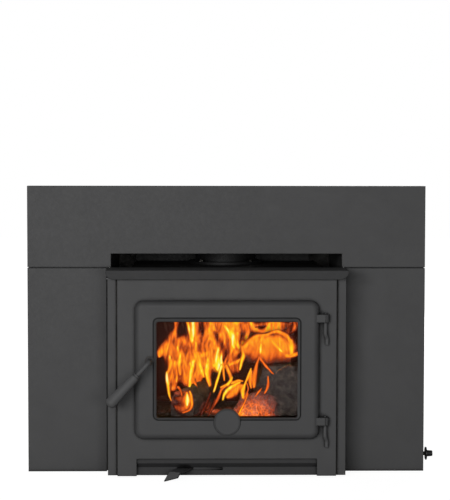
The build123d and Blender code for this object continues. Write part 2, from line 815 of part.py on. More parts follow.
with BuildPart() as air_tubes:
    with BuildSketch(side_plane(-tube_half)):
        with Locations(*[(y, tube_z) for y in tube_rows]):
            Circle(air_tube_radius)
            Circle(air_tube_radius - air_tube_wall, mode=Mode.SUBTRACT)
    extrude(amount=2 * tube_half)
air_tubes.part.label = "secondary_air_tubes"
export_step(air_tubes.part, "parts/secondary_air_tubes.step")

baffle_z = tube_z + air_tube_radius
baffle_half = firebox_inside - manifold_width - brick_joint
baffle_front_y = front_back_y + baffle_front_gap
baffle_depth = firebox_inside_back - baffle_front_y

with BuildPart() as baffle:
    with BuildSketch(Plane.XY.offset(baffle_z)):
        with Locations((0, baffle_front_y + baffle_depth / 2)):
            with GridLocations(baffle_half + baffle_joint / 2, baffle_depth, 2, 1):
                Rectangle(baffle_half - baffle_joint / 2, baffle_depth)
    extrude(amount=baffle_board)
baffle.part.label = "baffle_boards"
export_step(baffle.part, "parts/baffle_boards.step")

with BuildPart() as ledge:
    with BuildSketch(front_plane(firebox_inside_back)):
        with Locations((0, baffle_z)):
            Rectangle(2 * baffle_half, baffle_z - side_brick_top, align=(Align.CENTER, Align.MAX))
    extrude(amount=ledge_sheet)
ledge.part.label = "baffle_support"
export_step(ledge.part, "parts/baffle_support.step")

with BuildPart() as deflector:
    with BuildSketch(Plane.XY.offset(cap_under_z)):
        with Locations((deflector_left_x, firebox_back_y)):
            Rectangle(deflector_right_x - deflector_left_x, deflector_sheet, align=(Align.MIN, Align.MAX))
            Rectangle(deflector_sheet, deflector_tab, align=(Align.MIN, Align.MAX))
        with Locations((deflector_right_x, firebox_back_y)):
            Rectangle(deflector_sheet, deflector_tab, align=(Align.MAX, Align.MAX))
    extrude(amount=casing_top_z - casing_sheet - cap_under_z)
deflector.part.label = "air_deflector"
export_step(deflector.part, "parts/air_deflector.step")

# ========================================================================================
# Combustion air: damper seat and duct under the firebox, lever with its blade
# ========================================================================================

seat_z = lever_top_z + seat_clearance
seat_front_y = front_back_y + air_panel_step + seat_front_gap

with BuildPart() as damper_seat:
    with BuildSketch(Plane.XY.offset(seat_z)):
        with Locations((duct_x, seat_front_y)):
            Rectangle(2 * seat_half_width, seat_depth, align=(Align.CENTER, Align.MIN))
        with Locations((duct_x, duct_y)):
            Circle(port_radius, mode=Mode.SUBTRACT)
        with Locations((lever_pivot_x, lever_pivot_y)):
            Circle(lever_pin_radius, mode=Mode.SUBTRACT)
    extrude(amount=seat_plate)
damper_seat.part.label = "damper_seat"
export_step(damper_seat.part, "parts/damper_seat.step")

with BuildPart() as air_duct:
    with BuildSketch(Plane.XY.offset(seat_z + seat_plate)):
        with Locations((duct_x, seat_front_y)):
            Rectangle(2 * duct_half_width, duct_depth, align=(Align.CENTER, Align.MIN))
        with Locations((duct_x, seat_front_y + duct_sheet)):
            Rectangle(2 * (duct_half_width - duct_sheet), duct_depth - 2 * duct_sheet,
                      align=(Align.CENTER, Align.MIN), mode=Mode.SUBTRACT)
    extrude(amount=firebox_floor_z - seat_z - seat_plate)
air_duct.part.label = "air_duct"
export_step(air_duct.part, "parts/air_duct.step")

turn = math.radians(lever_angle)
tilt = math.radians(tab_tilt)
lever_across = Vector(math.cos(turn), -math.sin(turn), 0)
lever_along = Vector(-math.sin(turn), -math.cos(turn), 0)
lever_plane = Plane(origin=(lever_pivot_x, lever_pivot_y, lever_top_z - lever_thickness),
                    x_dir=lever_across, z_dir=(0, 0, 1))
lever_tip = Vector(lever_pivot_x, lever_pivot_y, lever_top_z) + lever_along * lever_length
tab_normal = lever_along * math.sin(tilt) + Vector(0, 0, math.cos(tilt))
tab_plane = Plane(origin=lever_tip, x_dir=lever_across, z_dir=tab_normal)

with BuildPart() as air_lever:
    with BuildSketch(lever_plane):
        Rectangle(lever_width, lever_length, align=(Align.CENTER, Align.MAX))
        Circle(lever_hub_radius)
        with Locations((0, -blade_reach)):
            Circle(blade_radius)
        Circle(lever_pin_radius + pin_clearance, mode=Mode.SUBTRACT)
    extrude(amount=lever_thickness)
    with BuildSketch(tab_plane):
        with BuildLine():
            Polyline((-lever_width / 2, 0), (lever_width / 2, 0),
                     (lever_width / 2 - tab_right_skew, -tab_right_drop),
                     (-lever_width / 2 - tab_left_skew, -tab_left_drop), close=True)
        make_face()
    extrude(amount=-lever_thickness)
air_lever.part.label = "air_lever"
export_step(air_lever.part, "parts/air_lever.step")

with BuildPart() as lever_pin:
    with BuildSketch(Plane.XY.offset(lever_top_z - lever_thickness - seat_clearance)):
        with Locations((lever_pivot_x, lever_pivot_y)):
            RegularPolygon(lever_pin_head_radius, 6)
    extrude(amount=-lever_pin_head)
    with BuildSketch(Plane.XY.offset(lever_top_z - lever_thickness - seat_clearance)):
        with Locations((lever_pivot_x, lever_pivot_y)):
            Circle(lever_pin_radius)
    extrude(amount=lever_thickness + 2 * seat_clearance + seat_plate)
    with BuildSketch(Plane.XY.offset(seat_z + seat_plate)):
        with Locations((lever_pivot_x, lever_pivot_y)):
            RegularPolygon(lever_pin_head_radius, 6)
    extrude(amount=lever_pin_nut)
lever_pin.part.label = "lever_pin"
export_step(lever_pin.part, "parts/lever_pin.step")

# ========================================================================================
# Door: cast frame with window, bevel and hinge lugs, glass and its retainers, rope gasket
# ========================================================================================

rebate_width = window_width + 2 * (glass_lap + glass_edge_gap)
rebate_height = window_height + 2 * (glass_lap + glass_edge_gap)
rebate_y = glass_front_y - glass_seat
bar_seat_height = rebate_height + 2 * retainer_bar_seat
screw_columns = [-retainer_screw_pitch, 0, retainer_screw_pitch]
screw_rows = [window_centre_z + sign * (rebate_height + retainer_bar_seat) / 2 for sign in sides.values()]
screw_points = [(x, z) for x in screw_columns for z in screw_rows]
bevel_width = window_width + 2 * bevel_side
bevel_height = window_height + bevel_bottom + bevel_top
bevel_centre_z = window_bottom_z - bevel_bottom + bevel_height / 2
groove_outer = trim_land + trim_groove

with BuildPart() as door_frame:
    with BuildSketch(front_plane(door_back_y)):
        with Locations((0, door_centre_z)):
            RectangleRounded(door_width, door_height, door_corner_radius)
    extrude(amount=door_thickness)
    fillet(door_frame.faces().sort_by(Axis.Y)[0].edges(), radius=door_round)
    with BuildSketch(front_plane(door_face_y)):
        with Locations((0, window_centre_z)):
            RectangleRounded(window_width, window_height, window_radius)
    extrude(amount=-door_thickness, mode=Mode.SUBTRACT)
    with BuildSketch(front_plane(door_face_y)):
        with Locations((0, bevel_centre_z)):
            RectangleRounded(bevel_width + 2 * groove_outer, bevel_height + 2 * groove_outer,
                             bevel_radius + groove_outer)
            RectangleRounded(bevel_width + 2 * trim_land, bevel_height + 2 * trim_land,
                             bevel_radius + trim_land, mode=Mode.SUBTRACT)
    extrude(amount=-trim_groove_depth, mode=Mode.SUBTRACT)
    with BuildSketch(front_plane(door_face_y)):
        with Locations((0, bevel_centre_z)):
            RectangleRounded(bevel_width, bevel_height, bevel_radius)
    with BuildSketch(front_plane(door_face_y + bevel_depth)):
        with Locations((0, window_centre_z)):
            RectangleRounded(window_width, window_height, window_radius)
    loft(mode=Mode.SUBTRACT)
    with BuildSketch(front_plane(door_face_y - disc_proud)):
        with Locations((0, disc_z)):
            Circle(disc_radius)
    extrude(amount=-(disc_proud + bevel_depth + window_lip))
    with BuildSketch(front_plane(door_face_y - disc_proud)):
        with Locations((0, disc_z)):
            Circle(disc_radius - disc_rim)
    extrude(amount=-disc_recess, mode=Mode.SUBTRACT)
    with BuildSketch(front_plane(rebate_y)):
        with Locations((0, window_centre_z)):
            RectangleRounded(rebate_width, rebate_height, glass_radius + glass_edge_gap)
    extrude(amount=-door_thickness, mode=Mode.SUBTRACT)
    with BuildSketch(front_plane(glass_back_y)):
        with Locations((0, window_centre_z)):
            Rectangle(retainer_bar_length + 2 * retainer_bar_gap, bar_seat_height)
    extrude(amount=-door_thickness, mode=Mode.SUBTRACT)
    with BuildSketch(front_plane(glass_back_y)):
        with Locations(*screw_points):
            Circle(retainer_screw_radius)
    extrude(amount=retainer_screw_depth, mode=Mode.SUBTRACT)
    for lug_z in lug_levels:
        with BuildSketch(Plane.XY.offset(lug_z)):
            with Locations((lug_inner_x, front_face_y - lug_front)):
                Rectangle(hinge_x - lug_inner_x, lug_front - door_gap, align=(Align.MIN, Align.MIN))
            with Locations((hinge_x, hinge_y)):
                Circle(lug_radius)
        extrude(amount=lug_height)
        with BuildSketch(Plane.XY.offset(lug_z)):
            with Locations((hinge_x, hinge_y)):
                Circle(pin_journal_radius + pin_clearance)
        extrude(amount=lug_height, mode=Mode.SUBTRACT)
    with BuildSketch(front_plane(door_back_y)):
        with Locations((0, door_centre_z)):
            RectangleRounded(door_width - 2 * rope_inset, door_height - 2 * rope_inset,
                             door_corner_radius - rope_inset)
            Rectangle(door_width - 2 * (rope_inset + rope_width), door_height - 2 * (rope_inset + rope_width),
                      mode=Mode.SUBTRACT)
    extrude(amount=rope_groove, mode=Mode.SUBTRACT)
    with BuildSketch(front_plane(door_back_y)):
        with Locations((latch_x, latch_z)):
            Circle(bush_radius)
    extrude(amount=door_thickness + door_round, mode=Mode.SUBTRACT)
door_frame.part.label = "door_frame"
export_step(door_frame.part, "parts/door_frame.step")

with BuildPart() as door_glass:
    with BuildSketch(front_plane(glass_back_y)):
        with Locations((0, window_centre_z)):
            RectangleRounded(window_width + 2 * glass_lap, window_height + 2 * glass_lap, glass_radius)
    extrude(amount=glass)
door_glass.part.label = "door_glass"
export_step(door_glass.part, "parts/door_glass.step")

with BuildPart() as glass_gasket:
    with BuildSketch(front_plane(glass_back_y)):
        with Locations((0, window_centre_z)):
            RectangleRounded(rebate_width, rebate_height, glass_radius + glass_edge_gap)
            RectangleRounded(window_width + 2 * glass_lap, window_height + 2 * glass_lap, glass_radius,
                             mode=Mode.SUBTRACT)
    extrude(amount=glass)
    with BuildSketch(front_plane(glass_front_y)):
        with Locations((0, window_centre_z)):
            RectangleRounded(rebate_width, rebate_height, glass_radius + glass_edge_gap)
            RectangleRounded(window_width + 2 * gasket_set_back, window_height + 2 * gasket_set_back,
                             window_radius, mode=Mode.SUBTRACT)
    extrude(amount=glass_seat)
glass_gasket.part.label = "glass_gasket"
export_step(glass_gasket.part, "parts/glass_gasket.step")

with BuildPart() as glass_bars:
    with BuildSketch(front_plane(glass_back_y)):
        for sign in sides.values():
            inner_z = window_centre_z + sign * (rebate_height / 2 - glass_edge_gap - retainer_bar_lap)
            with Locations((0, inner_z)):
                Rectangle(retainer_bar_length, retainer_bar_lap + glass_edge_gap + retainer_bar_seat,
                          align=(Align.CENTER, Align.MIN if sign > 0 else Align.MAX))
        with Locations(*screw_points):
            Circle(retainer_screw_radius + thread_clearance, mode=Mode.SUBTRACT)
    extrude(amount=-retainer_bar)
glass_bars.part.label = "glass_retainers"
export_step(glass_bars.part, "parts/glass_retainers.step")

with BuildPart() as bar_screws:
    with BuildSketch(front_plane(glass_back_y + retainer_bar)):
        with Locations(*screw_points):
            Circle(retainer_screw_head_radius)
    extrude(amount=-retainer_screw_head)
    with BuildSketch(front_plane(glass_back_y + retainer_bar)):
        with Locations(*screw_points):
            Circle(retainer_screw_radius)
    extrude(amount=retainer_bar + retainer_screw_depth)
bar_screws.part.label = "retainer_screws"
export_step(bar_screws.part, "parts/retainer_screws.step")

with BuildPart() as rope:
    with BuildSketch(front_plane(front_face_y - seat_clearance)):
        with Locations((0, door_centre_z)):
            RectangleRounded(door_width - 2 * rope_inset, door_height - 2 * rope_inset,
                             door_corner_radius - rope_inset)
            Rectangle(door_width - 2 * (rope_inset + rope_width), door_height - 2 * (rope_inset + rope_width),
                      mode=Mode.SUBTRACT)
    extrude(amount=door_gap - seat_clearance + rope_groove)
rope.part.label = "door_rope_gasket"
export_step(rope.part, "parts/door_rope_gasket.step")

weld_y = front_face_y - pin_radius

with BuildPart() as hinge_pins:
    for lug_z in lug_levels:
        bend_top = lug_z - pin_straight
        bend_bottom = bend_top - pin_bend_drop
        with BuildLine():
            pin_path = FilletPolyline((hinge_x, hinge_y, lug_z - seat_clearance),
                                      (hinge_x, hinge_y, bend_top),
                                      (hinge_x + pin_bend_offset, weld_y, bend_bottom),
                                      (hinge_x + pin_bend_offset, weld_y, bend_bottom - pin_weld_length),
                                      radius=pin_bend_radius)
        with BuildSketch(Plane.XY.offset(lug_z - seat_clearance)):
            with Locations((hinge_x, hinge_y)):
                Circle(pin_radius)
        sweep(path=pin_path)
        with BuildSketch(Plane.XY.offset(lug_z - seat_clearance)):
            with Locations((hinge_x, hinge_y)):
                Circle(pin_journal_radius)
        extrude(amount=lug_height + pin_above_lug)
hinge_pins.part.label = "hinge_pins"
export_step(hinge_pins.part, "parts/hinge_pins.step")

# ========================================================================================
# Latch: bush, bent shaft, ferrule, grip, finger, nut and the strike behind the plate
# ========================================================================================

with BuildPart() as bush:
    with BuildSketch(front_plane(door_back_y)):
        with Locations((latch_x, latch_z)):
            Circle(bush_radius)
            Circle(latch_radius + latch_clearance, mode=Mode.SUBTRACT)
    extrude(amount=door_thickness)
    with BuildSketch(front_plane(door_face_y)):
        with Locations((latch_x, latch_z)):
            Circle(bush_head_radius)
            Circle(latch_radius + latch_clearance, mode=Mode.SUBTRACT)
    extrude(amount=bush_head)
bush.part.label = "latch_bush"
export_step(bush.part, "parts/latch_bush.step")

handle_turn = math.radians(handle_angle)
handle_way = Vector(math.cos(handle_turn), 0, math.sin(handle_turn))
handle_pivot = Vector(latch_x, handle_y, latch_z)
neck_point = handle_pivot + handle_way * handle_neck
rod_end = neck_point + handle_way * grip_bore_depth
hub_front_y = door_back_y + seat_clearance
collar_front_y = door_face_y - bush_head - seat_clearance

with BuildPart() as latch_shaft:
    with BuildLine():
        rod_path = FilletPolyline((latch_x, finger_front_y, latch_z), handle_pivot, rod_end,
                                  radius=handle_bend_radius)
    with BuildSketch(front_plane(finger_front_y)):
        with Locations((latch_x, latch_z)):
            Circle(latch_radius)
    sweep(path=rod_path)
    with BuildSketch(front_plane(collar_front_y)):
        with Locations((latch_x, latch_z)):
            Circle(latch_collar_radius)
    extrude(amount=latch_collar)
    with BuildSketch(front_plane(finger_front_y)):
        with Locations((latch_x, latch_z)):
            Circle(latch_end_radius)
    extrude(amount=-(finger_thickness + latch_nut_height + latch_thread_end))
latch_shaft.part.label = "latch_shaft"
export_step(latch_shaft.part, "parts/latch_shaft.step")

grip_plane = Plane(origin=neck_point, x_dir=handle_way, z_dir=(0, -1, 0))

with BuildPart() as ferrule:
    with BuildSketch(grip_plane):
        with Locations((-ferrule_length, latch_radius)):
            Rectangle(ferrule_length, ferrule_radius - latch_radius, align=(Align.MIN, Align.MIN))
    revolve(axis=Axis(neck_point, handle_way))
    chamfer(ferrule.edges().filter_by(GeomType.CIRCLE).sort_by(Axis(neck_point, handle_way))[0:2], length=1)
ferrule.part.label = "grip_ferrule"
export_step(ferrule.part, "parts/grip_ferrule.step")

with BuildPart() as grip:
    with BuildSketch(grip_plane):
        with BuildLine():
            Polyline((grip_length, 0), (grip_bore_depth, 0), (grip_bore_depth, latch_radius),
                     (0, latch_radius), (0, grip_neck_radius), (grip_length, grip_end_radius), close=True)
        make_face()
    revolve(axis=Axis(neck_point, handle_way))
    fillet(grip.edges().filter_by(GeomType.CIRCLE).sort_by(Axis(neck_point, handle_way))[-1],
           radius=grip_end_radius * grip_dome)
grip.part.label = "handle_grip"
export_step(grip.part, "parts/handle_grip.step")

finger_turn = math.radians(finger_angle)
finger_plane = Plane(origin=(latch_x, finger_back_y, latch_z),
                     x_dir=(math.cos(finger_turn), 0, math.sin(finger_turn)), z_dir=(0, -1, 0))

with BuildPart() as finger:
    with BuildSketch(finger_plane):
        Rectangle(finger_length, finger_width, align=(Align.MIN, Align.CENTER))
        Circle(hub_radius)
        Circle(latch_end_radius, mode=Mode.SUBTRACT)
    extrude(amount=finger_thickness)
    with BuildSketch(front_plane(finger_front_y)):
        with Locations((latch_x, latch_z)):
            Circle(hub_radius)
            Circle(latch_radius, mode=Mode.SUBTRACT)
    extrude(amount=finger_front_y - hub_front_y)
finger.part.label = "latch_finger"
export_step(finger.part, "parts/latch_finger.step")

with BuildPart() as latch_nut:
    with BuildSketch(front_plane(finger_back_y)):
        with Locations((latch_x, latch_z)):
            RegularPolygon(latch_nut_radius, 6)
            Circle(latch_end_radius, mode=Mode.SUBTRACT)
    extrude(amount=-latch_nut_height)
latch_nut.part.label = "latch_nut"
export_step(latch_nut.part, "parts/latch_nut.step")

with BuildPart() as strike:
    with BuildSketch(front_plane(front_back_y)):
        with Locations((-opening_width / 2, latch_z + strike_height / 2)):
            Rectangle(strike_width, strike_height, align=(Align.MAX, Align.CENTER))
    extrude(amount=-strike_thickness)
    chamfer(strike.faces().sort_by(Axis.Y)[-1].edges().sort_by(Axis.X)[-1], length=strike_lead)
strike.part.label = "latch_strike"
export_step(strike.part, "parts/latch_strike.step")

# ========================================================================================
# Fan behind the firebox, and its speed control in the right return of the surround
# ========================================================================================

with BuildPart() as fan_housing:
    with BuildSketch(side_plane(fan_left_x)):
        with Locations((fan_front_y, pan_top_z)):
            Rectangle(fan_back_y - fan_front_y, fan_height, align=(Align.MIN, Align.MIN))
    extrude(amount=fan_right_x - fan_left_x)
    with BuildSketch(side_plane(fan_left_x + fan_plate)):
        with Locations((fan_y, fan_z)):
            Circle(wheel_radius + wheel_clearance)
        with Locations((fan_y, fan_z)):
            Rectangle(fan_outlet, fan_height, align=(Align.CENTER, Align.MIN))
        with Locations((fan_y, fan_z)):
            Rectangle(wheel_radius * 2, fan_inlet, align=(Align.MAX, Align.CENTER))
    extrude(amount=fan_right_x - fan_left_x - 2 * fan_plate, mode=Mode.SUBTRACT)
    with BuildSketch(side_plane(fan_left_x)):
        with Locations((fan_y, fan_z)):
            Circle(bearing_radius)
    extrude(amount=fan_plate, mode=Mode.SUBTRACT)
    with BuildSketch(side_plane(fan_right_x - fan_plate)):
        with Locations((fan_y, fan_z)):
            Circle(shaft_radius + shaft_hole_gap)
    extrude(amount=fan_plate, mode=Mode.SUBTRACT)
fan_housing.part.label = "fan_housing"
export_step(fan_housing.part, "parts/fan_housing.step")

wheel_left_x = wheel_x - wheel_length / 2
blade_circle = wheel_radius - wheel_ring / 2

with BuildPart() as fan_wheel:
    with BuildSketch(side_plane(wheel_left_x)):
        with Locations((fan_y, fan_z)):
            Circle(wheel_radius)
    extrude(amount=wheel_disc)
    with BuildSketch(side_plane(wheel_left_x + wheel_length - wheel_disc)):
        with Locations((fan_y, fan_z)):
            Circle(wheel_radius)
    extrude(amount=wheel_disc)
    with BuildSketch(side_plane(wheel_left_x)):
        with Locations((fan_y, fan_z)):
            with PolarLocations(blade_circle, wheel_blades):
                Rectangle(wheel_ring - 2 * blade_end_gap, wheel_blade, rotation=blade_angle)
    extrude(amount=wheel_length)
    with BuildSketch(side_plane(fan_left_x)):
        with Locations((fan_y, fan_z)):
            Circle(shaft_radius)
    extrude(amount=fan_right_x - fan_left_x + shaft_overhang)
fan_wheel.part.label = "fan_wheel"
export_step(fan_wheel.part, "parts/fan_wheel.step")

with BuildPart() as fan_bearing:
    with BuildSketch(side_plane(fan_left_x)):
        with Locations((fan_y, fan_z)):
            Circle(bearing_radius)
            Circle(shaft_radius + shaft_clearance, mode=Mode.SUBTRACT)
    extrude(amount=fan_plate)
fan_bearing.part.label = "fan_bearing"
export_step(fan_bearing.part, "parts/fan_bearing.step")

with BuildPart() as fan_motor:
    with BuildSketch(side_plane(fan_right_x)):
        with Locations((fan_y, fan_z)):
            Circle(motor_radius)
    extrude(amount=motor_length)
    with BuildSketch(side_plane(fan_right_x)):
        with Locations((fan_y, fan_z)):
            Circle(shaft_radius + shaft_clearance)
    extrude(amount=motor_length - motor_cap, mode=Mode.SUBTRACT)
    fillet(fan_motor.edges().filter_by(GeomType.CIRCLE).group_by(Axis.X)[-1], radius=motor_edge_radius)
fan_motor.part.label = "fan_motor"
export_step(fan_motor.part, "parts/fan_motor.step")

control_face_x = surround_half_width - surround_sheet

with BuildPart() as control:
    with BuildSketch(side_plane(control_face_x)):
        with Locations((knob_y, knob_z)):
            Rectangle(control_width, control_height)
    extrude(amount=-control_length)
    with BuildSketch(side_plane(control_face_x)):
        with Locations((knob_y, knob_z)):
            Circle(bushing_radius)
    extrude(amount=surround_sheet + bushing_length)
    with BuildSketch(side_plane(surround_half_width)):
        with Locations((knob_y, knob_z)):
            Circle(spindle_radius)
    extrude(amount=spindle_length)
control.part.label = "speed_control"
export_step(control.part, "parts/speed_control.step")

with BuildPart() as control_nut_part:
    with BuildSketch(side_plane(surround_half_width)):
        with Locations((knob_y, knob_z)):
            RegularPolygon(control_nut_radius, 6)
            Circle(bushing_radius, mode=Mode.SUBTRACT)
    extrude(amount=control_nut)
control_nut_part.part.label = "speed_control_nut"
export_step(control_nut_part.part, "parts/speed_control_nut.step")

knob_face_x = surround_half_width + knob_off_panel
knob_axis = Axis((knob_face_x, knob_y, knob_z), (1, 0, 0))
knob_plane = Plane(origin=(knob_face_x, knob_y, knob_z), x_dir=(1, 0, 0), z_dir=(0, -1, 0))

with BuildPart() as knob:
    with BuildSketch(knob_plane):
        with BuildLine():
            Polyline((0, 0), (0, skirt_radius), (skirt, skirt_radius), (skirt, knob_grip_radius),
                     (knob_height, knob_grip_tip_radius), (knob_height, 0), close=True)
        make_face()
    revolve(axis=knob_axis)
    with BuildSketch(side_plane(knob_face_x)):
        with Locations((knob_y, knob_z)):
            Circle(spindle_radius + knob_clearance)
    extrude(amount=knob_bore_depth + knob_clearance, mode=Mode.SUBTRACT)
knob.part.label = "speed_knob"
export_step(knob.part, "parts/speed_knob.step")

# ========================================================================================
# Fuel: ember bed on the floor bricks and split logs burning on it
# ========================================================================================

ember_half = side_brick_face - fuel_clearance
ember_front = hearth_front_y + fuel_clearance
ember_back = back_brick_face - fuel_clearance

with BuildPart() as embers:
    with BuildSketch(Plane.XY.offset(floor_brick_top)):
        with Locations((0, ember_front)):
            Rectangle(2 * ember_half, ember_back - ember_front, align=(Align.CENTER, Align.MIN))
    extrude(amount=ember_depth)
    chamfer(embers.faces().sort_by(Axis.Z)[-1].edges(), length=ember_crown)
embers.part.label = "ember_bed"
export_step(embers.part, "parts/ember_bed.step")

top_log_base = right_log_height + fuel_clearance
logs = {
    "left": (left_log_front, left_log_back, left_log_section, 0),
    "right": (right_log_front, right_log_back, right_log_section, 0),
    "top": (top_log_front, top_log_back, top_log_section, top_log_base),
}

for log_name, (front_end, back_end, section, base) in logs.items():
    run = Vector(back_end[0] - front_end[0], back_end[1] - front_end[1], 0)
    origin = (front_end[0], front_end[1], fuel_floor_z + fuel_clearance + base)
    log_plane = Plane(origin=origin, x_dir=(run.Y, -run.X, 0), z_dir=-run)
    with BuildPart() as log:
        with BuildSketch(log_plane) as log_section:
            with BuildLine():
                Polyline(*section, close=True)
            make_face()
            fillet(log_section.vertices(), radius=log_edge_radius)
        extrude(amount=-run.length)
    log.part.label = f"log_{log_name}"
    export_step(log.part, f"parts/log_{log_name}.step")
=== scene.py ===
import json
import logging
import math
import random
from dataclasses import dataclass, field
from enum import Enum

import bmesh
import bpy
from mathutils import Matrix, Vector, noise


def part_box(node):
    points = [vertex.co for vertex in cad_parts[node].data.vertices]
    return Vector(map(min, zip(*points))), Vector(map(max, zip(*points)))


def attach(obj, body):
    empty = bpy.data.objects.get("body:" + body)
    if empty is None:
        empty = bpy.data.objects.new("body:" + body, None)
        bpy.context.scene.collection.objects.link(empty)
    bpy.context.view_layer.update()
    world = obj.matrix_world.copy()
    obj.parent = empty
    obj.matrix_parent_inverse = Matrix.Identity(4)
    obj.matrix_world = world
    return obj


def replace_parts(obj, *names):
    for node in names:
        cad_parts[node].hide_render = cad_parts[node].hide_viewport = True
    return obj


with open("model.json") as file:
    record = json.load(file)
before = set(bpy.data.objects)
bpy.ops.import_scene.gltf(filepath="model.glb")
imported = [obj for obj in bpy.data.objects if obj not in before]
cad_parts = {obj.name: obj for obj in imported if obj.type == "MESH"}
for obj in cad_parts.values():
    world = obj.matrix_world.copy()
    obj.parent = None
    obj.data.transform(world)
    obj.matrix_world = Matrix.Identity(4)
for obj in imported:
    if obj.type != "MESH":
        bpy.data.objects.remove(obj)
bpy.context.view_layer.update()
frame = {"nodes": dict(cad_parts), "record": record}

Colour = tuple[float, float, float]
Place = tuple[float, float, float]
Socket = bpy.types.NodeSocket
Value = float | Colour | Socket

log = logging.getLogger("fireplace_insert")


class Slot(Enum):
    """Finish of a piece, by the name that its record gives it."""

    STOVE_PAINT = "stove_paint"
    SHEET_STEEL = "sheet_steel"
    PLATE_STEEL = "plate_steel"
    STAINLESS_TUBE = "stainless_tube"
    ZINC_HARDWARE = "zinc_hardware"
    BLACKENED_ROD = "blackened_rod"
    PAINTED_CASTING = "painted_casting"
    CERAMIC_GLASS = "ceramic_glass"
    GLASS_FIBRE = "glass_fibre"
    BRONZE = "bronze"
    GRIP_PAINT = "grip_paint"
    FIREBRICK = "firebrick"
    BAFFLE_BOARD = "baffle_board"
    FAN_ALUMINIUM = "fan_aluminium"
    MOTOR_CASE = "motor_case"
    CONTROL_BODY = "control_body"
    KNOB_PLASTIC = "knob_plastic"
    EMBERS = "embers"
    CHARRED_WOOD = "charred_wood"


# ---------------------------------------------------------------------------------------
# Materials
# ---------------------------------------------------------------------------------------


class Nodes:
    """A node tree, with short calls for the nodes that a pattern uses."""

    def __init__(self, tree: bpy.types.NodeTree) -> None:
        """Takes the tree that its nodes are added to."""
        self.tree = tree

    def put(self, target: Socket, value: Value) -> None:
        """Links a socket to another one, or sets it to a plain value.

        Args:
            target: The input that is set.
            value: A socket, a number or a colour.
        """
        if isinstance(value, bpy.types.NodeSocket):
            self.tree.links.new(value, target)
        elif isinstance(value, tuple) and len(value) == 3 and target.type == "RGBA":
            target.default_value = (*value, 1.0)
        else:
            target.default_value = value

    def node(self, kind: str, inputs: dict[int | str, Value], **settings: str | bool | int) -> bpy.types.Node:
        """Adds a node.

        Args:
            kind: The node's type, without its ShaderNode prefix.
            inputs: What its inputs are linked or set to.
            **settings: The node's own choices.

        Returns:
            The new node.
        """
        made = self.tree.nodes.new("ShaderNode" + kind)
        for key, choice in settings.items():
            setattr(made, key, choice)
        for key, value in inputs.items():
            self.put(made.inputs[key], value)
        return made

    def spread(self, value: Socket, low: float, high: float, to_low: float = 0.0,
               to_high: float = 1.0) -> Socket:
        """Value stretched from one range to another, with its ends held."""
        found = self.node("MapRange", {"Value": value, "From Min": low, "From Max": high,
                                       "To Min": to_low, "To Max": to_high})
        return found.outputs[0]

    def mix(self, first: Value, second: Value, share: Value, way: str = "MIX") -> Socket:
        """Two colours laid over each other.

        Args:
            first: The colour below.
            second: The colour above.
            share: How much of the one above shows.
            way: How they combine, such as MIX or MULTIPLY.

        Returns:
            The colour's socket.
        """
        made = self.node("Mix", {0: share, 6: first, 7: second}, data_type="RGBA", blend_type=way)
        return made.outputs[2]

    def sum(self, first: Value, second: Value, way: str = "ADD") -> Socket:
        """Two values combined, by adding unless another way is named."""
        return self.node("Math", {0: first, 1: second}, operation=way).outputs[0]

    def seen(self) -> Socket:
        """1 on a ray from the camera, also through glass, and 0 on a ray that only brings light."""
        path = self.node("LightPath", {}).outputs
        return self.sum(path["Is Camera Ray"], path["Is Transmission Ray"], "MAXIMUM")


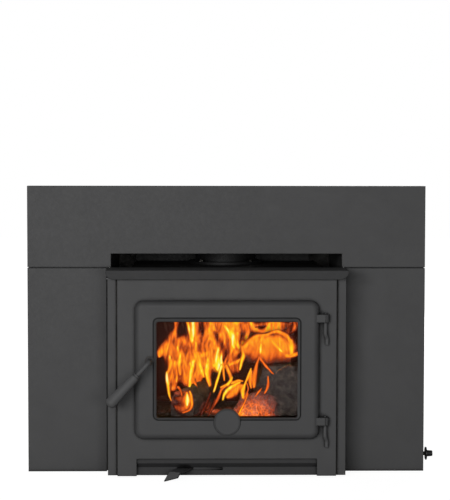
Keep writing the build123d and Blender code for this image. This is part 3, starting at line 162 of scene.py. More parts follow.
class Shader(Nodes):
    """One procedural material on the object's own coordinates."""

    def __init__(self, name: str) -> None:
        """Starts a material with a Principled shader.

        Args:
            name: The material's name.
        """
        self.material = bpy.data.materials.new(name)
        self.material.use_nodes = True
        super().__init__(self.material.node_tree)
        self.surface = self.tree.nodes["Principled BSDF"]
        self.place = self.node("TexCoord", {}).outputs["Object"]

    def set(self, **inputs: Value) -> None:
        """Sets the Principled shader's inputs, named with _ for each space."""
        for key, value in inputs.items():
            self.put(self.surface.inputs[key.replace("_", " ")], value)

    def stretched(self, scale: Place, at: Socket | None = None, turn: Place = (0.0, 0.0, 0.0)) -> Socket:
        """Coordinates scaled and turned, so that a pattern runs along the piece."""
        found = self.node("Mapping", {"Vector": at or self.place, "Scale": scale, "Rotation": turn})
        return found.outputs[0]

    def noise(self, scale: float, detail: float = 3.0, at: Socket | None = None, warp: float = 0.0,
              rough: float = 0.55) -> Socket:
        """Soft cloudy value from 0 to 1.

        Args:
            scale: Clouds in a metre.
            detail: Octaves of finer cloud.
            at: Coordinates, or none for the object's own.
            warp: How far the clouds are pulled about.
            rough: How strong the finer octaves are.

        Returns:
            The value's socket.
        """
        found = self.node("TexNoise", {"Vector": at or self.place, "Scale": scale, "Detail": detail,
                                       "Roughness": rough, "Distortion": warp})
        return found.outputs[0]

    def cells(self, scale: float, feature: str = "F1", at: Socket | None = None) -> Socket:
        """Distance value of a cell pattern: to the cell's centre, or with DISTANCE_TO_EDGE to its edge."""
        return self.node("TexVoronoi", {"Vector": at or self.place, "Scale": scale},
                         feature=feature).outputs["Distance"]

    def cell_tone(self, scale: float) -> Socket:
        """One random value for each cell."""
        cells = self.node("TexVoronoi", {"Vector": self.place, "Scale": scale})
        return self.node("SeparateColor", {"Color": cells.outputs["Color"]}).outputs[0]

    def vary(self, clouds: Socket, low: float, high: float) -> Socket:
        """Noise stretched to a range, as nearly all of it lies between 0.3 and 0.7."""
        return self.spread(clouds, 0.3, 0.7, low, high)

    def ramp(self, value: Socket, stops: list[tuple[float, Colour]]) -> Socket:
        """Colour that follows a value.

        Args:
            value: The value that is looked up.
            stops: Places from 0 to 1, each with its colour.

        Returns:
            The colour's socket.
        """
        made = self.node("ValToRGB", {"Fac": value})
        scale = made.color_ramp.elements
        scale.remove(scale[1])
        scale[0].position = stops[0][0]
        scale[0].color = (*stops[0][1], 1.0)
        for position, colour in stops[1:]:
            scale.new(position).color = (*colour, 1.0)
        return made.outputs[0]

    def attribute(self, name: str) -> Socket:
        """Value that the piece's mesh carries at each of its points."""
        found = self.node("Attribute", {}, attribute_name=name, attribute_type="GEOMETRY")
        return found.outputs["Fac"]

    def bump(self, height: Socket, depth: float, strength: float = 1.0, over: Socket | None = None) -> None:
        """Lets a height pattern tilt the surface.

        Args:
            height: The pattern.
            depth: Its depth in metres.
            strength: How much of it shows.
            over: Normal that the pattern lies on, or none for the surface's own.
        """
        found = self.node("Bump", {"Height": height, "Distance": depth, "Strength": strength})
        if over:
            self.put(found.inputs["Normal"], over)
        self.set(Normal=found.outputs[0])

    def rounded(self, radius: float) -> Socket:
        """Normal that turns over each sharp edge as over a small radius."""
        return self.node("Bevel", {"Radius": radius}, samples=4).outputs[0]

    def openness(self, reach: float) -> Socket:
        """Value near 1 on open faces and lower in gaps and inside corners."""
        return self.node("AmbientOcclusion", {"Distance": reach}, samples=6).outputs["AO"]

    def dust_and_shade(self, reach: float) -> Socket:
        """Value that is 1 outside and near 0 deep in a casing, for painted shade there."""
        return self.spread(self.openness(reach), 0.35, 0.85)


# Painted shade: the near black that metal and sheet turn deep inside a casing.
DEEP_PAINTED_SHADE: Colour = (0.008, 0.007, 0.006)


def toned(colour: Colour, share: float) -> Colour:
    """The same colour, darker below a share of 1 and lighter above it."""
    return tuple(part * share for part in colour)


@dataclass(frozen=True)
class Finish:
    """Look of a surface, which each kind of finish makes in its own way."""

    name: str

    def make(self) -> bpy.types.Material:
        """Stands for the way of each kind of finish."""
        raise NotImplementedError(self.name)


@dataclass(frozen=True)
class StovePaint(Finish):
    """High-temperature paint with a fine grain, faint clouding and a soft sheen, with painted shade on its
    edges, in its gaps and deep in hollows.

    Attributes:
        colour: Its colour on open faces.
        clouding: How much the colour varies in clouds.
        grain: Grains in a metre.
        grain_depth: Their depth in metres.
        roughness: How matt it is.
        sheen: How much of a plain gloss it keeps.
        edge: Radius that sharp edges seem to have, in metres.
        rub_and_edge_shading: How much lighter the edges are, as a painted highlight, or darker where it is
            below 0, as painted shade.
        crevice: Reach of the painted shade in narrow gaps, in metres.
        crevice_range: Openness at which the painted shade in gaps is darkest and at which it ends.
        hollow: Reach of the painted shade in deep hollows, in metres.
        hollow_range: Openness at which the painted shade in hollows is darkest and at which it ends.
        darkest: Part of the colour that is left in the darkest places.
    """

    colour: Colour
    clouding: float = 0.05
    grain: float = 650.0
    grain_depth: float = 0.00012
    roughness: float = 0.62
    sheen: float = 0.3
    edge: float = 0.003
    rub_and_edge_shading: float = -0.75
    crevice: float = 0.014
    crevice_range: tuple[float, float] = (0.55, 0.78)
    hollow: float = 0.15
    hollow_range: tuple[float, float] = (0.14, 0.42)
    darkest: float = 0.05

    def make(self) -> bpy.types.Material:
        """Builds the paint's material: edges rounded, with painted shade on the edges, in gaps and deep in
        hollows.

        Returns:
            The new material.
        """
        shader = Shader(self.name)
        clouds = shader.noise(14.0, 4.0, warp=0.4)
        mottle = shader.noise(120.0, 3.0)
        tone = shader.sum(shader.vary(clouds, 1.0 - self.clouding, 1.0 + self.clouding),
                          shader.vary(mottle, 0.96, 1.04), "MULTIPLY")
        over = shader.rounded(self.edge)
        flat = shader.node("NewGeometry", {}).outputs["Normal"]
        turn = shader.node("VectorMath", {0: over, 1: flat}, operation="DOT_PRODUCT").outputs["Value"]
        # Painted shade: the colour darkens in narrow gaps and deep hollows, found by occlusion, and on sharp
        # edges, which a setting above 0 lightens as a painted highlight instead.
        creviced = shader.spread(shader.openness(self.crevice), *self.crevice_range, self.darkest)
        hollowed = shader.spread(shader.openness(self.hollow), *self.hollow_range, self.darkest)
        edge_and_gap_shade = shader.sum(shader.spread(turn, 1.0, 0.8, 1.0, 1.0 + self.rub_and_edge_shading),
                            shader.sum(creviced, hollowed, "MULTIPLY"), "MULTIPLY")
        tint = shader.node("VectorMath", {0: self.colour, "Scale": shader.sum(tone, edge_and_gap_shade, "MULTIPLY")},
                           operation="SCALE")
        shader.set(Base_Color=tint.outputs[0], Specular_IOR_Level=self.sheen,
                   Roughness=shader.vary(mottle, self.roughness - 0.05, self.roughness + 0.07))
        shader.bump(shader.noise(self.grain, 2.0), self.grain_depth, 0.5, over)
        return shader.material


@dataclass(frozen=True)
class BareMetal(Finish):
    """Metal with stains, fine lines along one axis and a broken-up gloss, and painted shade deep inside a
    casing.
    """

    colour: Colour
    stain: Colour
    metallic: float = 0.8
    roughness: float = 0.42
    stain_scale: float = 22.0
    lines: Place = (40.0, 900.0, 900.0)

    def make(self) -> bpy.types.Material:
        """Builds the metal's material.

        Returns:
            The new material.
        """
        shader = Shader(self.name)
        clouds = shader.noise(self.stain_scale, 5.0, warp=0.8)
        fine = shader.noise(1.0, 3.0, at=shader.stretched(self.lines))
        colour = shader.mix(self.colour, self.stain, shader.spread(clouds, 0.42, 0.68))
        lined = shader.mix(colour, (0.0, 0.0, 0.0), shader.spread(fine, 0.4, 0.7, 0.0, 0.16))
        # Painted shade: near black deep inside a casing, found by occlusion.
        shader.set(Base_Color=shader.mix(DEEP_PAINTED_SHADE, lined, shader.dust_and_shade(0.12)), Metallic=self.metallic,
                   Roughness=shader.vary(clouds, self.roughness - 0.08, self.roughness + 0.16))
        shader.bump(fine, 0.00008, 0.4)
        return shader.material


@dataclass(frozen=True)
class SpangledSheet(Finish):
    """Zinc-coated sheet with its crystal spangle, dulled by heat and dust, and with painted shade deep inside
    the casing.
    """

    colour: Colour
    roughness: float = 0.5
    crystals: float = 190.0

    def make(self) -> bpy.types.Material:
        """Builds the sheet's material.

        Returns:
            The new material.
        """
        shader = Shader(self.name)
        spangle = shader.cell_tone(self.crystals)
        dust = shader.noise(9.0, 5.0, warp=0.5)
        tone = shader.mix(toned(self.colour, 0.86), toned(self.colour, 1.14), spangle)
        worn = shader.mix(tone, (0.16, 0.15, 0.135), shader.spread(dust, 0.4, 0.75, 0.0, 0.6))
        # Painted shade: near black deep inside the casing, found by occlusion.
        shader.set(Base_Color=shader.mix(DEEP_PAINTED_SHADE, worn, shader.dust_and_shade(0.15)), Metallic=0.6,
                   Roughness=shader.spread(spangle, 0.0, 1.0, self.roughness - 0.1, self.roughness + 0.15))
        shader.bump(shader.noise(260.0, 2.0), 0.0001, 0.3)
        return shader.material


@dataclass(frozen=True)
class TintedTube(Finish):
    """Stainless tube with straw and blue heat tints in bands along it."""

    def make(self) -> bpy.types.Material:
        """Builds the tube's material.

        Returns:
            The new material.
        """
        shader = Shader(self.name)
        bands = shader.noise(1.0, 3.0, at=shader.stretched((14.0, 30.0, 30.0)), warp=0.6)
        soot = shader.noise(40.0, 4.0)
        tint = shader.ramp(bands, [(0.3, (0.34, 0.27, 0.18)), (0.45, (0.42, 0.27, 0.10)),
                                   (0.55, (0.24, 0.13, 0.12)), (0.68, (0.12, 0.15, 0.24))])
        shader.set(Base_Color=shader.mix(tint, (0.03, 0.027, 0.025), shader.spread(soot, 0.4, 0.7, 0.1, 0.8)),
                   Metallic=0.85, Roughness=shader.vary(soot, 0.3, 0.7))
        shader.bump(soot, 0.0002, 0.3)
        return shader.material


@dataclass(frozen=True)
class ClearGlass(Finish):
    """Glass ceramic with a trace of warm tint and a thin film of soot."""

    colour: Colour = (0.97, 0.95, 0.92)

    def make(self) -> bpy.types.Material:
        """Builds the glass's material.

        Returns:
            The new material.
        """
        shader = Shader(self.name)
        film = shader.noise(18.0, 4.0, warp=0.6)
        shader.set(Base_Color=self.colour, Transmission_Weight=1.0, IOR=1.12,
                   Roughness=shader.spread(film, 0.45, 0.8, 0.0, 0.035))
        return shader.material


@dataclass(frozen=True)
class KnittedFibre(Finish):
    """Knitted glass-fibre, greyed by smoke: crossing strands with fuzz between them."""

    colour: Colour
    weave: float = 21.0
    smoke: Colour = (0.05, 0.045, 0.04)

    def make(self) -> bpy.types.Material:
        """Builds the fibre's material.

        Returns:
            The new material.
        """
        shader = Shader(self.name)
        waves = {"Vector": shader.place, "Scale": self.weave, "Distortion": 1.5}
        over = shader.node("TexWave", waves, bands_direction="DIAGONAL").outputs["Fac"]
        fuzz = shader.noise(700.0, 3.0)
        smoked = shader.spread(shader.noise(12.0, 4.0), 0.35, 0.75, 0.0, 0.7)
        tone = shader.mix(toned(self.colour, 0.45), self.colour, shader.sum(over, fuzz, "MULTIPLY"))
        shader.set(Base_Color=shader.mix(tone, self.smoke, smoked), Roughness=0.95, Sheen_Weight=0.3,
                   Specular_IOR_Level=0.2)
        shader.bump(shader.sum(over, fuzz), 0.0005, 0.6)
        return shader.material


@dataclass(frozen=True)
class Masonry(Finish):
    """Refractory brick or board: flecks, pits, soot that comes off in patches, and an even faint red glow
    that is painted firelight.
    """

    colour: Colour
    fleck: Colour
    soot_cover: float = 0.75
    fleck_scale: float = 330.0
    # Painted light: an even red glow for the firelight that falls on the brick or board.
    glow: Colour = (0.014, 0.0022, 0.0012)

    def make(self) -> bpy.types.Material:
        """Builds the brick's material.

        Returns:
            The new material.
        """
        shader = Shader(self.name)
        flecks = shader.cell_tone(self.fleck_scale)
        pits = shader.cells(self.fleck_scale * 0.6)
        patches = shader.noise(9.0, 6.0, warp=0.7, rough=0.65)
        clean = shader.mix(self.colour, self.fleck, shader.spread(flecks, 0.6, 0.9))
        low = 0.5 - self.soot_cover / 2
        soot = shader.spread(patches, low, low + 0.28)
        shader.set(Base_Color=shader.mix(clean, (0.018, 0.015, 0.013), soot), Roughness=0.93,
                   Specular_IOR_Level=0.2, Emission_Color=self.glow, Emission_Strength=1.0)
        shader.bump(shader.sum(pits, shader.noise(150.0, 4.0), "MULTIPLY"), 0.0012, 0.5)
        return shader.material


@dataclass(frozen=True)
class MouldedPlastic(Finish):
    """Moulded part with a fine spark-eroded texture and faces slightly worn by rubbing."""

    colour: Colour
    roughness: float = 0.45

    def make(self) -> bpy.types.Material:
        """Builds the plastic's material.

        Returns:
            The new material.
        """
        shader = Shader(self.name)
        rub_and_edge_shading = shader.noise(70.0, 3.0)
        lighter = tuple(c * 1.3 + 0.002 for c in self.colour)
        shader.set(Base_Color=shader.mix(self.colour, lighter, shader.spread(rub_and_edge_shading, 0.45, 0.8)),
                   Roughness=shader.spread(rub_and_edge_shading, 0.3, 0.8, self.roughness, self.roughness + 0.15),
                   Specular_IOR_Level=0.3)
        shader.bump(shader.noise(1400.0, 1.0), 0.00006, 0.5)
        return shader.material


FIRE_SCALE: list[tuple[float, Colour]] = [
    (0.00, (0.006, 0.002, 0.0015)), (0.14, (0.030, 0.005, 0.003)), (0.28, (0.13, 0.016, 0.006)),
    (0.40, (0.42, 0.055, 0.009)), (0.50, (0.80, 0.13, 0.012)), (0.58, (0.95, 0.20, 0.013)),
    (0.68, (1.0, 0.33, 0.013)), (0.78, (1.0, 0.55, 0.015)), (0.87, (1.0, 0.85, 0.02)),
    (1.00, (1.0, 1.0, 0.45))]


@dataclass(frozen=True)
class FlameGlow(Finish):
    """Burning gas: upward streaks, hotter inside and torn at the rim."""

    streak: float = 0.34
    tear: float = 0.34
    cooling: float = 0.42

    def make(self) -> bpy.types.Material:
        """Builds the flame's material.

        Returns:
            The new material.
        """
        shader = Shader(self.name)
        flow = shader.node("UVMap", {}, uv_map="flow").outputs[0]
        broad = shader.noise(0.55, 2.0, at=shader.stretched((1.0, 0.3, 1.0), flow), warp=1.4)
        fine = shader.noise(1.5, 2.0, at=shader.stretched((1.0, 0.25, 1.0), flow), warp=0.9)
        streaks = shader.sum(shader.sum(broad, 0.72, "MULTIPLY"), shader.sum(fine, 0.28, "MULTIPLY"))
        lift = shader.spread(streaks, 0.34, 0.66, -0.5 * self.streak, 0.5 * self.streak)
        rim = shader.attribute("rim")
        cooled = shader.spread(rim, 0.15, 0.95, -self.cooling, 0.0)
        frayed = shader.sum(rim, shader.spread(streaks, 0.34, 0.66, -self.tear, self.tear * 0.5))
        warm = shader.sum(shader.attribute("warmth"), shader.sum(lift, rim, "MULTIPLY"))
        colour = shader.ramp(shader.sum(warm, cooled), FIRE_SCALE)
        shader.set(Base_Color=(0.0, 0.0, 0.0), Roughness=1.0, Specular_IOR_Level=0.0,
                   Emission_Color=colour, Emission_Strength=1.0, Alpha=shader.spread(frayed, 0.05, 0.6))
        return shader.material


@dataclass(frozen=True)
class BurningWood(Finish):
    """Charred wood: black scales, grey ash on top of them and fire in the cracks."""

    crack_scale: float = 42.0
    grain: Place = (26.0, 5.0, 26.0)
    ash: float = 0.08

    def make(self) -> bpy.types.Material:
        """Builds the wood's material.

        Returns:
            The new material.
        """
        shader = Shader(self.name)
        along = shader.stretched(self.grain)
        fibre = shader.noise(3.0, 5.0, at=along, warp=0.5)
        edge = shader.cells(self.crack_scale, "DISTANCE_TO_EDGE", shader.stretched((1.0, 0.45, 1.0)))
        ash = shader.noise(55.0, 5.0, warp=0.6)
        char = shader.ramp(fibre, [(0.25, (0.022, 0.020, 0.020)), (0.5, (0.050, 0.046, 0.046)),
                                   (0.72, (0.105, 0.085, 0.078))])
        dust_and_shade = shader.mix(char, (0.20, 0.19, 0.19), shader.spread(ash, 0.52, 0.78, 0.0, self.ash))
        heat = shader.attribute("warmth")
        in_cracks = shader.sum(shader.spread(edge, 0.0, 0.12, 0.34, 0.0), heat, "MULTIPLY")
        flicker = shader.vary(shader.noise(1.0, 4.0, at=along, warp=1.2), -0.22, 0.22)
        warm = shader.sum(shader.sum(heat, in_cracks), shader.sum(flicker, heat, "MULTIPLY"))
        shader.set(Base_Color=dust_and_shade, Roughness=0.9, Specular_IOR_Level=0.25,
                   Emission_Color=shader.ramp(warm, [(0.1, (0.0, 0.0, 0.0)), *FIRE_SCALE[1:]]),
                   Emission_Strength=1.0)
        shader.bump(fibre, 0.0015, 0.6)
        return shader.material


FINISHES: dict[Slot, Finish] = {
    Slot.STOVE_PAINT: StovePaint("charcoal_stove_paint", (0.066, 0.066, 0.067)),
    Slot.PAINTED_CASTING: StovePaint("painted_casting", (0.060, 0.060, 0.061), grain=420.0,
                                     grain_depth=0.0003, roughness=0.58),
    Slot.GRIP_PAINT: StovePaint("satin_grip_paint", (0.088, 0.088, 0.089), roughness=0.6, sheen=0.22,
                                rub_and_edge_shading=0.0),
    Slot.BLACKENED_ROD: StovePaint("blackened_rod", (0.082, 0.082, 0.083), roughness=0.6, sheen=0.22,
                                   rub_and_edge_shading=0.0),
    Slot.SHEET_STEEL: SpangledSheet("zinc_coated_sheet", (0.30, 0.30, 0.29)),
    Slot.PLATE_STEEL: BareMetal("mill_scale_plate", (0.055, 0.055, 0.06), (0.085, 0.055, 0.04), 0.45, 0.55),
    Slot.STAINLESS_TUBE: TintedTube("heat_tinted_tube"),
    Slot.ZINC_HARDWARE: BareMetal("zinc_plated_steel", (0.42, 0.42, 0.40), (0.28, 0.26, 0.2), 0.9, 0.36),
    Slot.CERAMIC_GLASS: ClearGlass("glass_ceramic"),
    Slot.GLASS_FIBRE: KnittedFibre("knitted_glass_fibre", (0.34, 0.33, 0.30)),
    Slot.BRONZE: BareMetal("oil_black_bronze", (0.060, 0.050, 0.042), (0.024, 0.020, 0.018), 0.6, 0.5),
    Slot.FIREBRICK: Masonry("sooted_firebrick", (0.34, 0.26, 0.18), (0.5, 0.43, 0.33)),
    Slot.BAFFLE_BOARD: Masonry("vermiculite_board", (0.36, 0.31, 0.23), (0.55, 0.46, 0.28), 0.7, 240.0),
    Slot.FAN_ALUMINIUM: BareMetal("fan_aluminium", (0.6, 0.6, 0.6), (0.35, 0.34, 0.32), 0.95, 0.35),
    Slot.MOTOR_CASE: BareMetal("lacquered_stampings", (0.03, 0.03, 0.032), (0.05, 0.045, 0.04), 0.5, 0.5),
    Slot.CONTROL_BODY: MouldedPlastic("control_body", (0.07, 0.07, 0.072), 0.5),
    Slot.KNOB_PLASTIC: MouldedPlastic("black_knob", (0.014, 0.014, 0.0145), 0.34),
}
# Painted shade: near-black paint on the brackets and splice plates, so that the slits beside the casing read
# as shade.
PAINTED_SHADE_BLACK = StovePaint("painted_shade_black", (0.011, 0.011, 0.012), rub_and_edge_shading=0.1)
NODE_FINISHES: dict[str, Finish] = {
    "splice_plates": PAINTED_SHADE_BLACK,
    "surround_brackets_side": PAINTED_SHADE_BLACK,
    "surround_bracket_top": PAINTED_SHADE_BLACK,
    # Painted shade: darker paint for the shade in the slot above the cap.
    "air_deflector": StovePaint("deflector_painted_shade", (0.012, 0.012, 0.012)),
    # Painted shade: darker paint for the shade in the recess below the door.
    "lower_air_panel": StovePaint("panel_paint_painted_shade", (0.036, 0.036, 0.037)),
    # Painted shade: darker paint for the shade in the slot above the cap.
    "flue_collar": StovePaint("collar_casting_painted_shade", (0.016, 0.016, 0.017), grain=420.0,
                              grain_depth=0.0003),
}


# ---------------------------------------------------------------------------------------
# Meshes
# ---------------------------------------------------------------------------------------


def shown(name: str, data: bpy.types.ID) -> bpy.types.Object:
    """New object of the scene for a mesh, a lamp or a camera.

    Args:
        name: The object's name.
        data: What it shows.

    Returns:
        The new object.
    """
    made = bpy.data.objects.new(name, data)
    bpy.context.scene.collection.objects.link(made)
    return made


def mesh_of(name: str, shape: bmesh.types.BMesh) -> bpy.types.Mesh:
    """New mesh from a finished shape.

    Args:
        name: The mesh's name.
        shape: The shape, which is used up.

    Returns:
        The new mesh.
    """
    mesh = bpy.data.meshes.new(name)
    shape.to_mesh(mesh)
    shape.free()
    return mesh


def keep_piece(name: str, shape: bmesh.types.BMesh, material: bpy.types.Material, body: str,
               smooth: bool = True) -> bpy.types.Object:
    """Turns a finished shape into a piece that moves with a body.

    Args:
        name: The piece's name.
        shape: Its mesh, already in place.
        material: Its material.
        body: The body that it moves with.
        smooth: Whether its faces are shaded as one surface.

    Returns:
        The new object.
    """
    mesh = mesh_of(name, shape)
    for polygon in mesh.polygons:
        polygon.use_smooth = smooth
    mesh.materials.append(material)
    piece = shown(name, mesh)
    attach(piece, body)
    log.info("piece %s on %s: %d faces", name, body, len(mesh.polygons))
    return piece


def copied_shell(node: str) -> bmesh.types.BMesh:
    """Closed copy of a CAD node's mesh, with its loose triangles joined.

    Args:
        node: The node's name.

    Returns:
        The copy.
    """
    shape = bmesh.new()
    shape.from_mesh(frame["nodes"][node].data)
    bmesh.ops.remove_doubles(shape, verts=shape.verts, dist=1e-5)
    bmesh.ops.recalc_face_normals(shape, faces=shape.faces)
    return shape


def remeshed(shape: bmesh.types.BMesh, voxel: float) -> bmesh.types.BMesh:
    """The same closed shape in even faces.

    Args:
        shape: The shape, which is used up.
        voxel: The size of a face in metres.

    Returns:
        The new shape.
    """
    mesh = mesh_of("even", shape)
    holder = shown("even", mesh)
    even = holder.modifiers.new("even", "REMESH")
    even.mode = "VOXEL"
    even.voxel_size = voxel
    bpy.context.view_layer.update()
    result = bpy.data.meshes.new_from_object(holder.evaluated_get(bpy.context.evaluated_depsgraph_get()))
    fresh = bmesh.new()
    fresh.from_mesh(result)
    bpy.data.objects.remove(holder)
    bpy.data.meshes.remove(mesh)
    bpy.data.meshes.remove(result)
    return fresh


def crack(point: Vector, width: float) -> float:
    """How near a point is to the border between two cells of a crazed surface, from 0 to 1."""
    distances, _ = noise.voronoi(point)
    return max(0.0, 1.0 - (distances[1] - distances[0]) / width)


# ---------------------------------------------------------------------------------------
# Sub-assemblies
# ---------------------------------------------------------------------------------------


@dataclass(frozen=True)
class Lamp:
    """Soft lamp: where it hangs, its width and height in metres and its power in watts."""

    name: str
    place: Place
    size: tuple[float, float]
    power: float


@dataclass
class Studio:
    """Pale floor, soft lamps and the camera.

    Attributes:
        eye: Where the camera stands.
        pitch: How far it looks down, in radians.
        yaw: How far it looks to the left, in radians.
        roll: How far it leans, in radians.
        lens: Its focal length in millimetres.
        sensor: The width of its picture in millimetres.
        sight: How far it sees, in metres.
        floor_half: Half the floor's width.
        floor_gap: Gap between the floor and the insert's feet.
        floor_colours: The two tones of the floor's faint clouds.
        floor_glow: The floor's brightness under the insert, which rises to 1 away from it.
        shade_reach: Distance at which it starts to rise.
        sky: The backdrop's strength as a light.
        aim: The point that all lamps face.
        lamps: The lamps.
    """

    eye: Place = (-0.0625085, -4.062395, 0.810113)
    pitch: float = 0.05264085
    yaw: float = -0.01452014
    roll: float = -0.00114552
    lens: float = 108.0
    sensor: float = 36.0
    sight: float = 100.0
    floor_half: float = 14.0
    floor_gap: float = 0.0004
    floor_colours: tuple[Colour, Colour] = ((0.24, 0.24, 0.24), (0.22, 0.22, 0.22))
    floor_glow: float = 0.95
    shade_reach: float = 1.0
    sky: float = 0.07
    aim: Place = (0.0, 0.0, 0.4)
    lamps: tuple[Lamp, ...] = (
        Lamp("key_lamp", (-1.35, -4.25, 1.15), (2.5, 1.3), 108.0),
        Lamp("fill_lamp", (0.9, -4.4, 0.6), (1.2, 0.8), 30.0),
        Lamp("back_lamp", (1.6, 4.2, 1.3), (2.0, 2.0), 60.0),
        Lamp("side_lamp", (-3.4, 2.2, 1.2), (1.6, 1.6), 30.0),
    )

    def build(self) -> None:
        """Sets the camera, the floor, the world and the lamps."""
        self.set_camera()
        self.set_floor()
        self.set_world()
        for lamp in self.lamps:
            self.hang(lamp)
        log.info("studio ready")

    def set_camera(self) -> None:
        """Places the camera where the photograph was taken from."""
        data = bpy.data.cameras.new("camera")
        data.lens = self.lens
        data.sensor_width = self.sensor
        data.clip_end = self.sight
        camera = shown("camera", data)
        look = (Matrix.Rotation(self.yaw, 3, "Z") @ Matrix.Rotation(-self.pitch, 3, "X")
                @ Matrix.Rotation(self.roll, 3, "Y") @ Matrix.Rotation(math.pi / 2, 3, "X"))
        camera.matrix_world = Matrix.Translation(self.eye) @ look.to_4x4()
        bpy.context.scene.camera = camera

    def set_floor(self) -> None:
        """Lays the pale floor just under the levelling feet."""
        shape = bmesh.new()
        bmesh.ops.create_grid(shape, x_segments=8, y_segments=8, size=self.floor_half)
        bmesh.ops.translate(shape, verts=shape.verts, vec=(0.0, 0.0, -self.floor_gap))
        shader = Shader("pale_floor")
        cloud = shader.noise(0.6, 3.0)
        away = shader.node("VectorMath", {0: shader.place}, operation="LENGTH").outputs["Value"]
        glow = shader.spread(away, self.shade_reach, 2.0 * self.shade_reach, self.floor_glow, 1.0)
        shader.set(Base_Color=shader.mix(*self.floor_colours, cloud), Roughness=0.9,
                   Specular_IOR_Level=0.1, Emission_Color=(1.0, 1.0, 1.0),
                   Emission_Strength=shader.sum(shader.seen(), glow, "MULTIPLY"))
        mesh = mesh_of("floor", shape)
        mesh.materials.append(shader.material)
        floor = shown("floor", mesh)

    def set_world(self) -> None:
        """Makes the backdrop white to the eye and weak as a light."""
        world = bpy.data.worlds.new("studio")
        world.use_nodes = True
        bpy.context.scene.world = world
        nodes = Nodes(world.node_tree)
        back = nodes.tree.nodes["Background"]
        nodes.put(back.inputs["Color"], (1.0, 1.0, 1.0))
        nodes.put(back.inputs["Strength"], nodes.spread(nodes.seen(), 0.0, 1.0, self.sky, 1.0))

    def hang(self, lamp: Lamp) -> None:
        """Hangs one soft lamp that faces the middle of the insert.

        Args:
            lamp: The lamp.
        """
        data = bpy.data.lights.new(lamp.name, "AREA")
        data.shape = "RECTANGLE"
        data.size, data.size_y = lamp.size
        data.energy = lamp.power
        way = Vector(self.aim) - Vector(lamp.place)
        turn = way.to_track_quat("-Z", "Y").to_matrix().to_4x4()
        shown(lamp.name, data).matrix_world = Matrix.Translation(lamp.place) @ turn


@dataclass
class CarriedNodes:
    """The CAD nodes that stay in view, each with the finish that the record names."""

    made: dict[Slot, bpy.types.Material] = field(default_factory=dict)

    def dress(self) -> None:
        """Gives each node the material of its finish, except the fuel, which is shaped anew."""
        self.made = {slot: finish.make() for slot, finish in FINISHES.items()}
        own = {finish: finish.make() for finish in dict.fromkeys(NODE_FINISHES.values())}
        for entry in frame["record"]["subparts"]:
            name, slot = entry["node"], Slot(entry["material_slot"])
            if slot not in self.made:
                continue
            material = own[NODE_FINISHES[name]] if name in NODE_FINISHES else self.made[slot]
            node = frame["nodes"][name]
            if not node.data.materials:
                node.data.materials.append(material)
            for held in node.material_slots:
                held.material = material
            log.info("node %s: %s", name, material.name)


@dataclass(frozen=True)
class HotSpot:
    """Place on a log or in the embers that glows, with its heat fading over a reach along each axis."""

    centre: Place
    reach: Place
    heat: float


